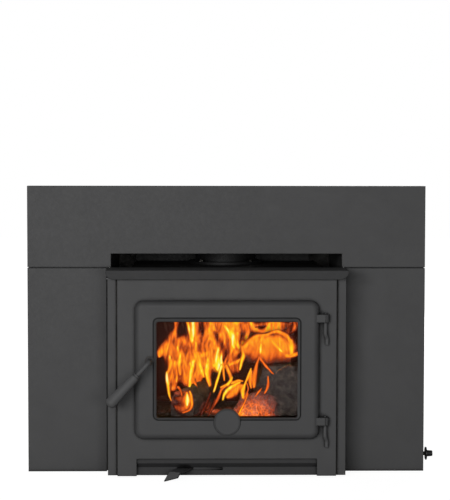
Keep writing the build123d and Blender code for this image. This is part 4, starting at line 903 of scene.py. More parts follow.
@dataclass
class Fuel:
    """Split logs and the ember bed, shaped over their CAD solids.

    Attributes:
        log_voxel: Size of the logs' faces.
        ember_voxel: Size of the ember bed's faces.
        scale_size: Size of the logs' charred scales along each axis.
        lump_size: Size of the ember bed's lumps along each axis.
        crack_depth: Depth of the logs' cracks and waves.
        lump_depth: Depth of the hollows between the lumps.
        crack_width: Width of a crack as a part of a scale.
        crack_share: Part of the depth that the cracks take.
        wave_share: Part of the depth that the waves take.
        coal_edge: How far the loose coals stay from the bed's sides and front, and how deep they sink.
        coal_back: How far back they lie.
        coals: Number of loose coals.
        coal_size: Their least and greatest radius.
        coal_lumps: How uneven they are.
        chunks: Number of chunks in the glowing heap.
        chunk_size: Their least and greatest radius.
        chunk_lumps: How uneven they are.
        pile_centre: Middle of the heap's foot.
        pile_size: Its half width, half depth and height.
        seed: Fixes where the coals and chunks lie.
        spots: The places that glow.
    """

    log_voxel: float = 0.0042
    ember_voxel: float = 0.006
    scale_size: Place = (0.03, 0.072, 0.03)
    lump_size: Place = (0.022, 0.022, 0.022)
    crack_depth: float = 0.006
    lump_depth: float = 0.007
    crack_width: float = 0.22
    crack_share: float = 0.75
    wave_share: float = 0.7
    coal_edge: Place = (0.03, 0.02, 0.004)
    coal_back: float = 0.12
    coals: int = 150
    coal_size: tuple[float, float] = (0.006, 0.015)
    coal_lumps: float = 0.22
    chunks: int = 70
    chunk_size: tuple[float, float] = (0.007, 0.016)
    chunk_lumps: float = 0.35
    pile_centre: Place = (0.076, -0.086, 0.150)
    pile_size: Place = (0.054, 0.030, 0.070)
    seed: int = 41
    spots: tuple[HotSpot, ...] = (
        HotSpot((0.105, -0.045, 0.350), (0.085, 0.04, 0.045), 0.66),
        HotSpot((0.17, -0.04, 0.34), (0.018, 0.03, 0.04), 0.8),
        HotSpot((0.075, -0.10, 0.165), (0.065, 0.08, 0.06), 0.50),
        HotSpot((0.045, -0.11, 0.16), (0.03, 0.05, 0.05), 0.56),
        HotSpot((-0.125, -0.09, 0.212), (0.045, 0.06, 0.04), 0.33),
        HotSpot((0.0, 0.02, 0.16), (0.16, 0.05, 0.02), 0.4),
    )

    def build(self) -> None:
        """Shapes and dresses the fuel."""
        wood = BurningWood("charred_split_wood").make()
        bed = BurningWood("embers_and_ash", crack_scale=85.0, grain=(40.0, 40.0, 40.0), ash=0.12).make()
        for node in ("log_left", "log_right", "log_top"):
            self.split_log(node, wood)
        self.ember_heap(bed)
        self.loose_coals(bed)
        self.ember_pile(bed)

    def heat_at(self, point: Vector) -> float:
        """Heat at a point, from the place that warms it most.

        Args:
            point: The point.

        Returns:
            The heat, from 0 to 1.
        """
        best = 0.0
        for spot in self.spots:
            away = [(p - c) / r for p, c, r in zip(point, spot.centre, spot.reach)]
            best = max(best, spot.heat * math.exp(-sum(a * a for a in away)))
        return best

    def carve(self, shape: bmesh.types.BMesh, depth: float, size: Place, seed: float) -> None:
        """Cuts cracks and waves into a surface, never outwards.

        Args:
            shape: The surface.
            depth: How deep the cracks are.
            size: Size of the scales between them along each axis.
            seed: Keeps the patterns of two pieces apart.
        """
        shape.normal_update()
        moves = []
        for vertex in shape.verts:
            spot = Vector([c / s for c, s in zip(vertex.co, size)]) + Vector((seed, 0.0, 0.0))
            wave = 0.5 + 0.5 * noise.fractal(spot * 0.8, 0.9, 2.0, 4)
            cut = self.crack_share * crack(spot, self.crack_width) + self.wave_share * wave
            moves.append(-vertex.normal * depth * cut)
        for vertex, move in zip(shape.verts, moves):
            vertex.co += move

    def paint_heat(self, shape: bmesh.types.BMesh) -> None:
        """Writes each point's heat to the mesh.

        Args:
            shape: The mesh.
        """
        layer = shape.verts.layers.float.new("warmth")
        for vertex in shape.verts:
            vertex[layer] = self.heat_at(vertex.co)

    def split_log(self, node: str, material: bpy.types.Material) -> None:
        """Shapes one burning log in the place of its CAD node.

        Args:
            node: The node that it stands for.
            material: Its material.
        """
        shape = remeshed(copied_shell(node), self.log_voxel)
        bmesh.ops.smooth_vert(shape, verts=shape.verts, factor=0.5, use_axis_x=True, use_axis_y=True,
                              use_axis_z=True)
        self.carve(shape, self.crack_depth, self.scale_size, float(len(node)))
        self.paint_heat(shape)
        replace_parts(keep_piece(f"split_{node}", shape, material, "insert"), node)

    def ember_heap(self, material: bpy.types.Material) -> None:
        """Shapes the lumpy ember bed.

        Args:
            material: Its material.
        """
        shape = remeshed(copied_shell("ember_bed"), self.ember_voxel)
        self.carve(shape, self.lump_depth, self.lump_size, 3.0)
        self.paint_heat(shape)
        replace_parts(keep_piece("ember_heap", shape, material, "insert"), "ember_bed")

    def loose_coals(self, material: bpy.types.Material) -> None:
        """Scatters coals over the ember bed.

        Args:
            material: Their material.
        """
        chance = random.Random(self.seed)
        low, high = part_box("ember_bed")
        side, front, sunk = self.coal_edge
        coals = bmesh.new()
        for _ in range(self.coals):
            size = chance.uniform(*self.coal_size)
            at = Vector((chance.uniform(low.x + side, high.x - side),
                         chance.uniform(low.y + front, self.coal_back), high.z - sunk))
            made = bmesh.ops.create_icosphere(coals, subdivisions=2, radius=size)["verts"]
            stretch = Vector((chance.uniform(0.7, 1.5), chance.uniform(0.7, 1.3), chance.uniform(0.55, 0.9)))
            bmesh.ops.scale(coals, verts=made, vec=stretch)
            spin = Matrix.Rotation(chance.uniform(0.0, math.pi), 3, "Z")
            bmesh.ops.rotate(coals, verts=made, matrix=spin)
            for vertex in made:
                vertex.co *= 1.0 + self.coal_lumps * noise.noise(vertex.co * 90.0 + at * 50.0)
            bmesh.ops.translate(coals, verts=made, vec=at)
        self.paint_heat(coals)
        keep_piece("loose_coals", coals, material, "insert", smooth=False)

    def ember_pile(self, material: bpy.types.Material) -> None:
        """Heaps cracked, glowing chunks in front of the right log.

        Args:
            material: Their material.
        """
        chance = random.Random(self.seed + 1)
        pile = bmesh.new()
        for _ in range(self.chunks):
            angle, up = chance.uniform(0.0, math.tau), chance.uniform(0.0, 1.0)
            out = math.sqrt(1.0 - up * up)
            at = Vector((out * math.cos(angle) * self.pile_size[0], out * math.sin(angle) * self.pile_size[1],
                         up * self.pile_size[2])) * chance.uniform(0.75, 0.98) + Vector(self.pile_centre)
            size = chance.uniform(*self.chunk_size)
            made = bmesh.ops.create_icosphere(pile, subdivisions=3, radius=size)["verts"]
            stretch = (chance.uniform(0.7, 1.1), 0.8, chance.uniform(0.9, 1.6))
            bmesh.ops.scale(pile, verts=made, vec=stretch)
            for vertex in made:
                vertex.co *= 1.0 + self.chunk_lumps * noise.noise(vertex.co * 75.0 + at * 60.0)
            bmesh.ops.rotate(pile, verts=made, matrix=Matrix.Rotation(chance.uniform(-0.7, 0.7), 3, "Y"))
            bmesh.ops.translate(pile, verts=made, vec=at)
        self.paint_heat(pile)
        keep_piece("ember_pile", pile, material, "insert")


@dataclass(frozen=True)
class Tongue:
    """One tongue of flame, as it shows in the window.

    Attributes:
        path: Its middle line from root to tip, in millimetres across and up in the window's plane.
        widths: Its width at each point of the path, in millimetres.
        depth: Its own y in the firebox, in metres.
        heat: Its heat at the root and at the tip.
        core: The part of its half width that nothing behind it shows through.
    """

    path: tuple[tuple[float, float], ...]
    widths: tuple[float, ...]
    depth: float
    heat: tuple[float, float]
    core: float = 0.0


@dataclass
class Fire:
    """Two sheets of flame between the glass and the back bricks: one behind the logs, one before them.

    Attributes:
        eye: Where the window is seen from.
        window_y: The window's plane, in which the tongues' places are given.
        across: Left and right end of the sheets in that plane, in millimetres.
        up: Foot and head of the sheets there.
        cell: Size of the sheets' faces there.
        sway: How far slow waves bend the tongues, in millimetres.
        slow_wave: Size of the slow waves across and up.
        ripple: How far quick waves bend them.
        quick_wave: Size of the quick waves across and up.
        seed: Which waves bend them.
        steps: Straight pieces that a tongue's middle line is cut into.
        fade: Half widths from the middle line at which a tongue ends.
        front_depth: Depth that parts the two sheets, in metres.
        sparks: Places of the sparks, in millimetres across and up.
        spark_depth: Their own y in the firebox, in metres.
        spark_size: Their radius in metres.
        spark_heats: The heats that the sparks take in turn.
        thin: Cover below which a sheet is cut away.
        flow_unit: Millimetres of the window in one unit of the streaks' coordinates.
    """

    eye: Place = Studio.eye
    window_y: float = -0.169
    across: tuple[float, float] = (-187.0, 194.0)
    up: tuple[float, float] = (160.0, 431.0)
    cell: float = 1.5
    sway: float = 4.0
    slow_wave: tuple[float, float] = (38.0, 60.0)
    ripple: float = 1.6
    quick_wave: tuple[float, float] = (13.0, 26.0)
    seed: int = 1
    steps: int = 11
    fade: float = 1.7
    front_depth: float = -0.03
    sparks: tuple[tuple[float, float], ...] = ((128, 284), (133, 290), (137, 293), (141, 292), (146, 297),
                                               (150, 301), (153, 299), (158, 304), (163, 306), (166, 302))
    spark_depth: float = -0.1
    spark_size: float = 0.0009
    spark_heats: tuple[float, ...] = (0.5, 0.65, 0.8)
    thin: float = 0.03
    flow_unit: float = 10.0
    tongues: tuple[Tongue, ...] = (
        # wide flames at the left, farthest back
        Tongue(((-140, 246), (-140, 275), (-136, 305), (-128, 335), (-122, 356)), (22, 38, 44, 60, 50),
               0.17, (0.56, 0.56)),
        Tongue(((-146, 330), (-150, 350), (-142, 378), (-134, 400), (-134, 430)), (34, 44, 30, 16, 18),
               0.16, (0.54, 0.50)),
        Tongue(((-108, 262), (-108, 300), (-106, 335), (-112, 358)), (26, 40, 48, 40), 0.17, (0.50, 0.52)),
        Tongue(((-92, 228), (-92, 270), (-86, 310), (-80, 350), (-84, 430)), (16, 22, 40, 50, 44),
               0.15, (0.58, 0.56)),
        Tongue(((-74, 262), (-72, 300), (-62, 335), (-52, 370), (-48, 430)), (14, 38, 50, 56, 50),
               0.14, (0.58, 0.50)),
        Tongue(((-47, 250), (-50, 290), (-46, 330), (-40, 370), (-36, 430)), (8, 22, 30, 34, 38),
               0.12, (0.64, 0.56)),
        Tongue(((-130, 340), (-155, 348), (-172, 340), (-176, 326)), (26, 30, 22, 8), 0.05, (0.56, 0.60)),
        # bright streaks at the left
        Tongue(((-145, 210), (-150, 228), (-153, 250), (-158, 272), (-157, 286)), (4, 7, 8, 9, 6),
               0.00, (0.84, 0.88)),
        Tongue(((-156, 286), (-149, 300), (-147, 314), (-151, 326)), (5, 8, 7, 4), 0.00, (0.80, 0.82)),
        Tongue(((-121, 282), (-123, 308), (-125, 330), (-132, 352)), (5, 9, 9, 4), 0.00, (0.76, 0.80)),
        Tongue(((-131, 262), (-130, 285), (-138, 316), (-152, 340)), (4, 6, 5, 4), 0.01, (0.66, 0.66)),
        Tongue(((-98, 236), (-97, 268), (-94, 292), (-88, 306)), (8, 10, 9, 6), 0.00, (0.84, 0.86)),
        Tongue(((-97, 312), (-90, 300), (-84, 326), (-80, 350), (-80, 366)), (4, 8, 9, 8, 4),
               -0.01, (0.80, 0.84)),
        Tongue(((-105, 430), (-98, 396), (-91, 368)), (8, 8, 5), 0.00, (0.78, 0.84)),
        Tongue(((-91, 370), (-87, 395), (-88, 430)), (6, 9, 12), -0.01, (0.86, 0.84)),
        Tongue(((-62, 274), (-71, 296), (-74, 318), (-74, 336)), (5, 9, 9, 5), 0.01, (0.78, 0.84)),
        Tongue(((-80, 340), (-66, 331), (-54, 332), (-44, 340)), (6, 12, 12, 5), 0.02, (0.72, 0.74)),
        Tongue(((-57, 284), (-54, 300), (-48, 318), (-44, 332)), (8, 14, 12, 5), 0.00, (0.82, 0.84)),
        Tongue(((-49, 252), (-52, 272), (-57, 292)), (5, 10, 8), 0.01, (0.72, 0.78)),
        Tongue(((-76, 247), (-84, 258), (-90, 272)), (3, 6, 4), 0.00, (0.56, 0.60)),
        Tongue(((-82, 272), (-82, 290), (-86, 310)), (5, 9, 6), 0.02, (0.62, 0.62)),
        # smoke between the flames
        Tongue(((-64, 368), (-65, 388), (-67, 412)), (8, 16, 12), 0.00, (0.34, 0.22)),
        # heart of the fire
        Tongue(((-42, 300), (-38, 340), (-36, 380), (-34, 430)), (12, 24, 26, 30), 0.08, (0.60, 0.58)),
        Tongue(((-24, 296), (-25, 318), (-23, 348)), (22, 24, 8), 0.00, (0.88, 0.84)),
        Tongue(((-9, 300), (-13, 318), (-15, 342)), (8, 7, 4), -0.02, (0.98, 0.92)),
        Tongue(((-33, 304), (-18, 300), (-4, 304), (6, 312)), (8, 12, 12, 4), -0.02, (0.86, 0.88)),
        Tongue(((-37, 236), (-27, 266), (-18, 288), (-12, 302)), (5, 7, 8, 8), -0.04, (0.84, 0.92)),
        Tongue(((12, 262), (8, 282), (0, 304)), (7, 11, 9), -0.03, (0.60, 0.74)),
        Tongue(((-7, 266), (-7, 280), (-7, 296)), (4, 6, 6), -0.03, (0.62, 0.74)),
        Tongue(((18, 296), (14, 325), (6, 352)), (36, 46, 40), 0.14, (0.46, 0.50)),
        Tongue(((-6, 306), (4, 326), (14, 346)), (5, 7, 4), 0.00, (0.66, 0.60)),
        Tongue(((10, 306), (24, 312), (34, 318)), (5, 9, 5), 0.00, (0.74, 0.72)),
        Tongue(((-8, 346), (-14, 378), (-14, 430)), (22, 44, 56), 0.12, (0.56, 0.60)),
        Tongue(((24, 344), (18, 372), (20, 400), (24, 430)), (28, 46, 50, 56), 0.11, (0.62, 0.66)),
        Tongue(((-8, 318), (-10, 340), (-20, 362), (-33, 392)), (6, 10, 14, 8), 0.10, (0.22, 0.28)),
        Tongue(((31, 350), (18, 368), (8, 388), (-6, 406)), (7, 16, 12, 4), 0.00, (0.92, 0.82)),
        Tongue(((18, 350), (14, 366), (8, 384)), (7, 10, 5), -0.01, (0.90, 0.88)),
        Tongue(((28, 352), (25, 368), (26, 386)), (5, 7, 5), -0.01, (0.88, 0.84)),
        Tongue(((33, 292), (38, 312), (42, 332), (38, 352)), (4, 8, 8, 5), -0.05, (0.84, 0.84)),
        Tongue(((36, 352), (46, 372), (55, 392), (57, 430)), (7, 11, 11, 12), 0.00, (0.74, 0.66)),
        Tongue(((34, 388), (40, 376), (46, 368)), (5, 12, 6), -0.01, (0.30, 0.26)),
        # fire along the top of the right log
        Tongue(((142, 374), (160, 392), (180, 410), (192, 426)), (14, 26, 30, 26), 0.16, (0.34, 0.38)),
        Tongue(((52, 404), (84, 404), (126, 400), (150, 408)), (26, 34, 36, 20), 0.12, (0.56, 0.54)),
        Tongue(((50, 348), (78, 350), (108, 349), (138, 352), (162, 352)), (34, 68, 74, 68, 34),
               -0.058, (0.56, 0.64), 0.1),
        Tongue(((66, 366), (100, 368), (136, 366)), (16, 24, 18), -0.06, (0.66, 0.72)),
        Tongue(((44, 352), (60, 370), (80, 381), (106, 385)), (6, 10, 9, 5), -0.066, (0.66, 0.70)),
        Tongue(((100, 380), (124, 391), (150, 382), (164, 366)), (4, 8, 9, 7), -0.066, (0.64, 0.74)),
        Tongue(((166, 368), (166, 350), (164, 330)), (6, 8, 7), -0.07, (0.80, 0.88)),
        Tongue(((154, 330), (172, 331), (192, 338)), (8, 10, 12), -0.07, (0.72, 0.58)),
        Tongue(((143, 339), (130, 350), (118, 366)), (3, 8, 4), -0.07, (0.88, 0.80)),
        Tongue(((88, 337), (88, 348), (89, 358)), (5, 7, 4), -0.07, (0.88, 0.86)),
        Tongue(((88, 368), (92, 376), (95, 386)), (4, 7, 3), -0.07, (0.80, 0.76)),
        Tongue(((58, 430), (66, 406), (84, 394), (104, 398), (120, 430)), (10, 10, 9, 10, 12),
               0.02, (0.66, 0.68)),
        Tongue(((122, 392), (126, 408), (130, 430)), (14, 24, 26), 0.03, (0.64, 0.62)),
        Tongue(((134, 392), (152, 404), (172, 416), (188, 430)), (6, 9, 9, 8), 0.01, (0.52, 0.46)),
        Tongue(((74, 404), (88, 404), (102, 408)), (4, 10, 5), 0.00, (0.26, 0.24)),
        # low flames in front of the logs
        Tongue(((-9, 212), (-5, 228), (4, 241), (18, 251), (33, 257)), (4, 8, 9, 8, 4), -0.125, (0.90, 0.96)),
        Tongue(((2, 220), (14, 232), (28, 244), (40, 250)), (8, 22, 24, 8), -0.118, (0.66, 0.68)),
        Tongue(((12, 256), (26, 262), (40, 262)), (4, 9, 4), -0.12, (0.78, 0.68)),
        Tongue(((-16, 247), (2, 254), (15, 272)), (4, 9, 3), -0.12, (0.74, 0.84)),
        Tongue(((-42, 186), (-26, 212), (-16, 236), (-2, 250)), (7, 11, 11, 5), -0.115, (0.42, 0.58)),
        Tongue(((-70, 166), (-58, 196), (-46, 232)), (8, 10, 6), -0.11, (0.24, 0.28)),
        Tongue(((-52, 168), (-40, 192), (-34, 216)), (5, 8, 4), -0.112, (0.34, 0.30)),
        Tongue(((42, 218), (42, 236), (47, 258)), (6, 10, 4), -0.12, (0.84, 0.84)),
        Tongue(((44, 214), (54, 240), (48, 262)), (3, 5, 3), -0.122, (0.54, 0.58)),
        Tongue(((47, 258), (54, 272), (62, 294)), (4, 7, 4), -0.118, (0.78, 0.80)),
        Tongue(((62, 244), (60, 264), (64, 288)), (5, 12, 4), -0.116, (0.68, 0.64)),
        Tongue(((70, 246), (72, 272), (76, 300), (85, 324)), (8, 14, 10, 3), -0.114, (0.62, 0.58)),
        Tongue(((124, 280), (106, 298), (84, 324)), (4, 8, 5), -0.112, (0.54, 0.58)),
        Tongue(((96, 230), (106, 248), (108, 274)), (4, 9, 4), -0.116, (0.58, 0.58)),
        Tongue(((73, 222), (81, 232), (89, 243)), (3, 5, 2), -0.12, (0.62, 0.58)),
        Tongue(((32, 176), (42, 198), (54, 228)), (6, 5, 3), -0.13, (0.72, 0.62)),
        Tongue(((-114, 181), (-98, 186), (-90, 200), (-92, 220), (-98, 236)), (3, 7, 8, 8, 5),
               -0.125, (0.62, 0.74)),
        Tongue(((-134, 196), (-118, 190), (-100, 196)), (16, 26, 18), -0.108, (0.36, 0.40)),
        Tongue(((-132, 216), (-116, 214), (-102, 214)), (14, 28, 18), -0.108, (0.34, 0.44)),
        Tongue(((-104, 196), (-103, 212), (-106, 232)), (10, 18, 8), -0.122, (0.66, 0.70)),
        Tongue(((-103, 200), (-103, 212), (-105, 228)), (4, 9, 4), -0.13, (1.10, 1.0)),
        Tongue(((-126, 246), (-120, 234), (-118, 224)), (8, 8, 3), -0.11, (0.56, 0.50)),
    )

    def build(self) -> None:
        """Builds the two sheets, each from the tongues at its depth."""
        noise.seed_set(self.seed)
        far_gas = FlameGlow("burning_gas", streak=0.44).make()
        near_gas = FlameGlow("burning_gas_near", streak=0.2, tear=0.25).make()
        behind = [tongue for tongue in self.tongues if tongue.depth > self.front_depth]
        before = [tongue for tongue in self.tongues if tongue.depth <= self.front_depth]
        self.sheet("flames_behind", behind, far_gas)
        self.sheet("flames_before", before, near_gas)
        self.scatter_sparks(BurningWood("glowing_sparks", ash=0.0).make())

    def scatter_sparks(self, ember: bpy.types.Material) -> None:
        """Scatters sparks before the right log, each glowing a little more or less than the next.

        Args:
            ember: Their material.
        """
        shape = bmesh.new()
        warmth = shape.verts.layers.float.new("warmth")
        for number, (across, up) in enumerate(self.sparks):
            made = bmesh.ops.create_icosphere(shape, subdivisions=1, radius=self.spark_size)["verts"]
            bmesh.ops.translate(shape, verts=made, vec=self.seen_at(across, up, self.spark_depth))
            for vertex in made:
                vertex[warmth] = self.spark_heats[number % len(self.spark_heats)]
        keep_piece("sparks", shape, ember, "insert")

    def seen_at(self, across: float, up: float, depth: float) -> Vector:
        """Point at a depth in the firebox that shows at a place in the window.

        Args:
            across: Millimetres to the right of the window's middle.
            up: Millimetres above the hearth, in the window's plane.
            depth: The point's own y in metres.

        Returns:
            The point in metres.
        """
        near = Vector((across / 1000.0, self.window_y, up / 1000.0))
        eye = Vector(self.eye)
        return eye + (near - eye) * (depth - self.eye[1]) / (self.window_y - self.eye[1])

    def swayed(self, across: float, up: float) -> tuple[float, float]:
        """Place in the window moved by the waves that bend the flames.

        Args:
            across: Millimetres to the right of the window's middle.
            up: Millimetres above the hearth.

        Returns:
            The moved place.
        """
        slow = noise.noise_vector(Vector((across / self.slow_wave[0], up / self.slow_wave[1], 1.7)))
        quick = noise.noise_vector(Vector((across / self.quick_wave[0], up / self.quick_wave[1], 8.3)))
        return (across + self.sway * slow.x + self.ripple * quick.x,
                up + self.sway * slow.y + self.ripple * quick.y)

    @staticmethod
    def along(values: list[Vector], share: float) -> Vector:
        """Smooth point on a run of values.

        Args:
            values: The values, through which the run passes.
            share: How far along it is, from 0 at the first to 1 at the last.

        Returns:
            The point.
        """
        spans = len(values) - 1
        place = min(max(share, 0.0), 1.0) * spans
        k = min(int(place), spans - 1)
        t = place - k
        p0, p1 = values[max(k - 1, 0)], values[k]
        p2, p3 = values[k + 1], values[min(k + 2, spans)]
        return 0.5 * (2 * p1 + (p2 - p0) * t + (2 * p0 - 5 * p1 + 4 * p2 - p3) * t * t
                      + (3 * p1 - p0 - 3 * p2 + p3) * t ** 3)

    def nearest(self, run: list[Vector], x: float, z: float) -> tuple[float, float]:
        """How far a place is from a tongue's middle line, and how far along it.

        Args:
            run: Points of the middle line: across, up and width.
            x: The place's distance across.
            z: The place's height.

        Returns:
            The distance in half widths and the share of the way from root to tip.
        """
        best, place = 99.0, 0.0
        for number in range(self.steps):
            ax, az, aw = run[number]
            bx, bz, bw = run[number + 1]
            dx, dz = bx - ax, bz - az
            t = min(max(((x - ax) * dx + (z - az) * dz) / (dx * dx + dz * dz), 0.0), 1.0)
            width = max(aw + (bw - aw) * t, self.cell)
            off = 2.0 * math.hypot(x - ax - dx * t, z - az - dz * t) / width
            if off < best:
                best, place = off, (number + t) / self.steps
        return best, place

    def reached(self, run: list[Vector], columns: int, rows: int) -> list[int]:
        """Points of the grid that a tongue may cover.

        Args:
            run: Points of the tongue's middle line: across, up and width.
            columns: Faces across the grid.
            rows: Faces up the grid.

        Returns:
            The points' numbers, counted row by row.
        """
        reach = max(p.z for p in run) * self.fade / 2.0 + self.sway + self.ripple
        spans = []
        for axis, start, faces in ((0, self.across[0], columns), (1, self.up[0], rows)):
            first = round((min(p[axis] for p in run) - reach - start) / self.cell)
            last = round((max(p[axis] for p in run) + reach - start) / self.cell)
            spans.append(range(max(first, 0), min(last, faces) + 1))
        return [row * (columns + 1) + column for row in spans[1] for column in spans[0]]

    def sheet(self, name: str, tongues: list[Tongue], gas: bpy.types.Material) -> None:
        """Lays tongues over one another on a fine grid and cuts away what none of them covers.

        Args:
            name: The piece's name.
            tongues: Its tongues, each over the ones before it.
            gas: The flames' material.
        """
        wide, tall = self.across[1] - self.across[0], self.up[1] - self.up[0]
        columns, rows = round(wide / self.cell), round(tall / self.cell)
        shape = bmesh.new()
        flow = shape.loops.layers.uv.new("flow")
        bmesh.ops.create_grid(shape, x_segments=columns, y_segments=rows, size=1.0)
        warmth = shape.verts.layers.float.new("warmth")
        rim = shape.verts.layers.float.new("rim")
        grid = sorted(shape.verts, key=lambda v: (round(v.co.y, 5), v.co.x))
        flat = [(self.across[0] + (v.co.x + 1.0) / 2.0 * wide, self.up[0] + (v.co.y + 1.0) / 2.0 * tall)
                for v in grid]
        spots = [self.swayed(x, z) for x, z in flat]
        depths = [sum(t.depth for t in tongues) / len(tongues)] * len(grid)
        for tongue in tongues:
            points = [Vector((x, z, w)) for (x, z), w in zip(tongue.path, tongue.widths)]
            run = [self.along(points, k / self.steps) for k in range(self.steps + 1)]
            for place in self.reached(run, columns, rows):
                off, share = self.nearest(run, *spots[place])
                if off >= self.fade:
                    continue
                cover = min(max((self.fade - off) / (self.fade - tongue.core), 0.0), 1.0)
                cover *= cover * (3.0 - 2.0 * cover)
                vertex = grid[place]
                heat = tongue.heat[0] + (tongue.heat[1] - tongue.heat[0]) * share
                under = vertex[rim] * (1.0 - cover)
                vertex[rim] = under + cover
                share_over = cover / max(under + cover, 1e-6)
                vertex[warmth] += (heat - vertex[warmth]) * share_over
                depths[place] += (tongue.depth - depths[place]) * cover
        bare = [f for f in shape.faces if all(v[rim] < self.thin for v in f.verts)]
        for vertex, (x, z), depth, (sx, sz) in zip(grid, flat, depths, spots):
            vertex.co = self.seen_at(x, z, depth)
            for corner in vertex.link_loops:
                corner[flow].uv = (sx / self.flow_unit, sz / self.flow_unit)
        bmesh.ops.delete(shape, geom=bare, context="FACES")
        keep_piece(name, shape, gas, "insert")


@dataclass
class DoorSeal:
    """Knitted rope in the door's groove, in place of its plain CAD solid.

    Attributes:
        strand_turns: Times that the strands cross on the way round the door.
        ring_points: Points round the rope.
        steps: Rings along it.
        braid: Depth of the braid as a part of the rope's radius.
        corner: Radius of the rope's middle line at the door's corners.
    """

    strand_turns: float = 150.0
    ring_points: int = 16
    steps: int = 420
    braid: float = 0.10
    corner: float = 0.010

    def build(self, fibre: bpy.types.Material) -> None:
        """Lays the rope round the groove.

        Args:
            fibre: Its material.
        """
        low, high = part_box("door_rope_gasket")
        radius = (high.y - low.y) / 2
        middle = (low + high) / 2
        half_x, half_z = (high.x - low.x) / 2 - radius, (high.z - low.z) / 2 - radius
        shape = bmesh.new()
        ring = bmesh.ops.create_circle(shape, segments=self.ring_points, radius=radius)["verts"]
        rings = []
        edges = list(shape.edges)
        for step in range(self.steps):
            rings.append(ring)
            if step == self.steps - 1:
                break
            grown = bmesh.ops.extrude_edge_only(shape, edges=edges)["geom"]
            ring = [g for g in grown if isinstance(g, bmesh.types.BMVert)]
            edges = [g for g in grown if isinstance(g, bmesh.types.BMEdge)
                     and all(v in ring for v in g.verts)]
        for step, verts in enumerate(rings):
            share = step / self.steps
            centre, out = self.on_path(share, half_x, half_z)
            for k, vertex in enumerate(verts):
                angle = math.tau * k / self.ring_points
                wave = (math.sin(self.strand_turns * share * math.tau + 2 * angle)
                        * math.sin(self.strand_turns * share * math.tau - 2 * angle))
                reach = radius * (1.0 - self.braid * (0.5 - 0.5 * wave))
                vertex.co = (middle + centre + out * reach * math.cos(angle)
                             + Vector((0.0, reach * math.sin(angle), 0.0)))
        bmesh.ops.bridge_loops(shape, edges=[e for e in shape.edges if e.is_boundary])
        bmesh.ops.recalc_face_normals(shape, faces=shape.faces)
        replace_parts(keep_piece("door_rope", shape, fibre, "door"), "door_rope_gasket")

    def on_path(self, share: float, half_x: float, half_z: float) -> tuple[Vector, Vector]:
        """Place on a rounded rectangle and the way out from it.

        Args:
            share: How far round, from 0 to 1.
            half_x: Half its width.
            half_z: Half its height.

        Returns:
            The place and the outward direction.
        """
        run_x, run_z, arc = 2 * (half_x - self.corner), 2 * (half_z - self.corner), math.pi / 2 * self.corner
        way = share * (2 * run_x + 2 * run_z + 4 * arc)
        corners = ((1, 1), (-1, 1), (-1, -1), (1, -1))
        runs = (run_z, run_x, run_z, run_x)
        for turn, (run, (sx, sz)) in enumerate(zip(runs, corners)):
            heading = turn * math.pi / 2
            out = Vector((math.cos(heading), 0.0, math.sin(heading)))
            ahead = Vector((-math.sin(heading), 0.0, math.cos(heading)))
            pivot = Vector((sx * (half_x - self.corner), 0.0, sz * (half_z - self.corner)))
            if way <= run:
                return pivot + out * self.corner + ahead * (way - run), out
            way -= run
            if way <= arc:
                angle = heading + way / self.corner
                out = Vector((math.cos(angle), 0.0, math.sin(angle)))
                return pivot + out * self.corner, out
            way -= arc
        return Vector((half_x, 0.0, -half_z + self.corner)), Vector((1.0, 0.0, 0.0))


@dataclass
class GlassTape:
    """Knitted tape round the glass, in place of its plain CAD solid."""

    fuzz: float = 0.00015
    tufts: float = 300.0

    def build(self, fibre: bpy.types.Material) -> None:
        """Roughens a copy of the tape's solid.

        Args:
            fibre: Its material.
        """
        shape = copied_shell("glass_gasket")
        bmesh.ops.subdivide_edges(shape, edges=shape.edges, cuts=2, use_grid_fill=True)
        shape.normal_update()
        moves = [v.normal * -self.fuzz * abs(noise.noise(v.co * self.tufts)) for v in shape.verts]
        for vertex, move in zip(shape.verts, moves):
            vertex.co += move
        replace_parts(keep_piece("glass_tape", shape, fibre, "door", smooth=False),
                    "glass_gasket")


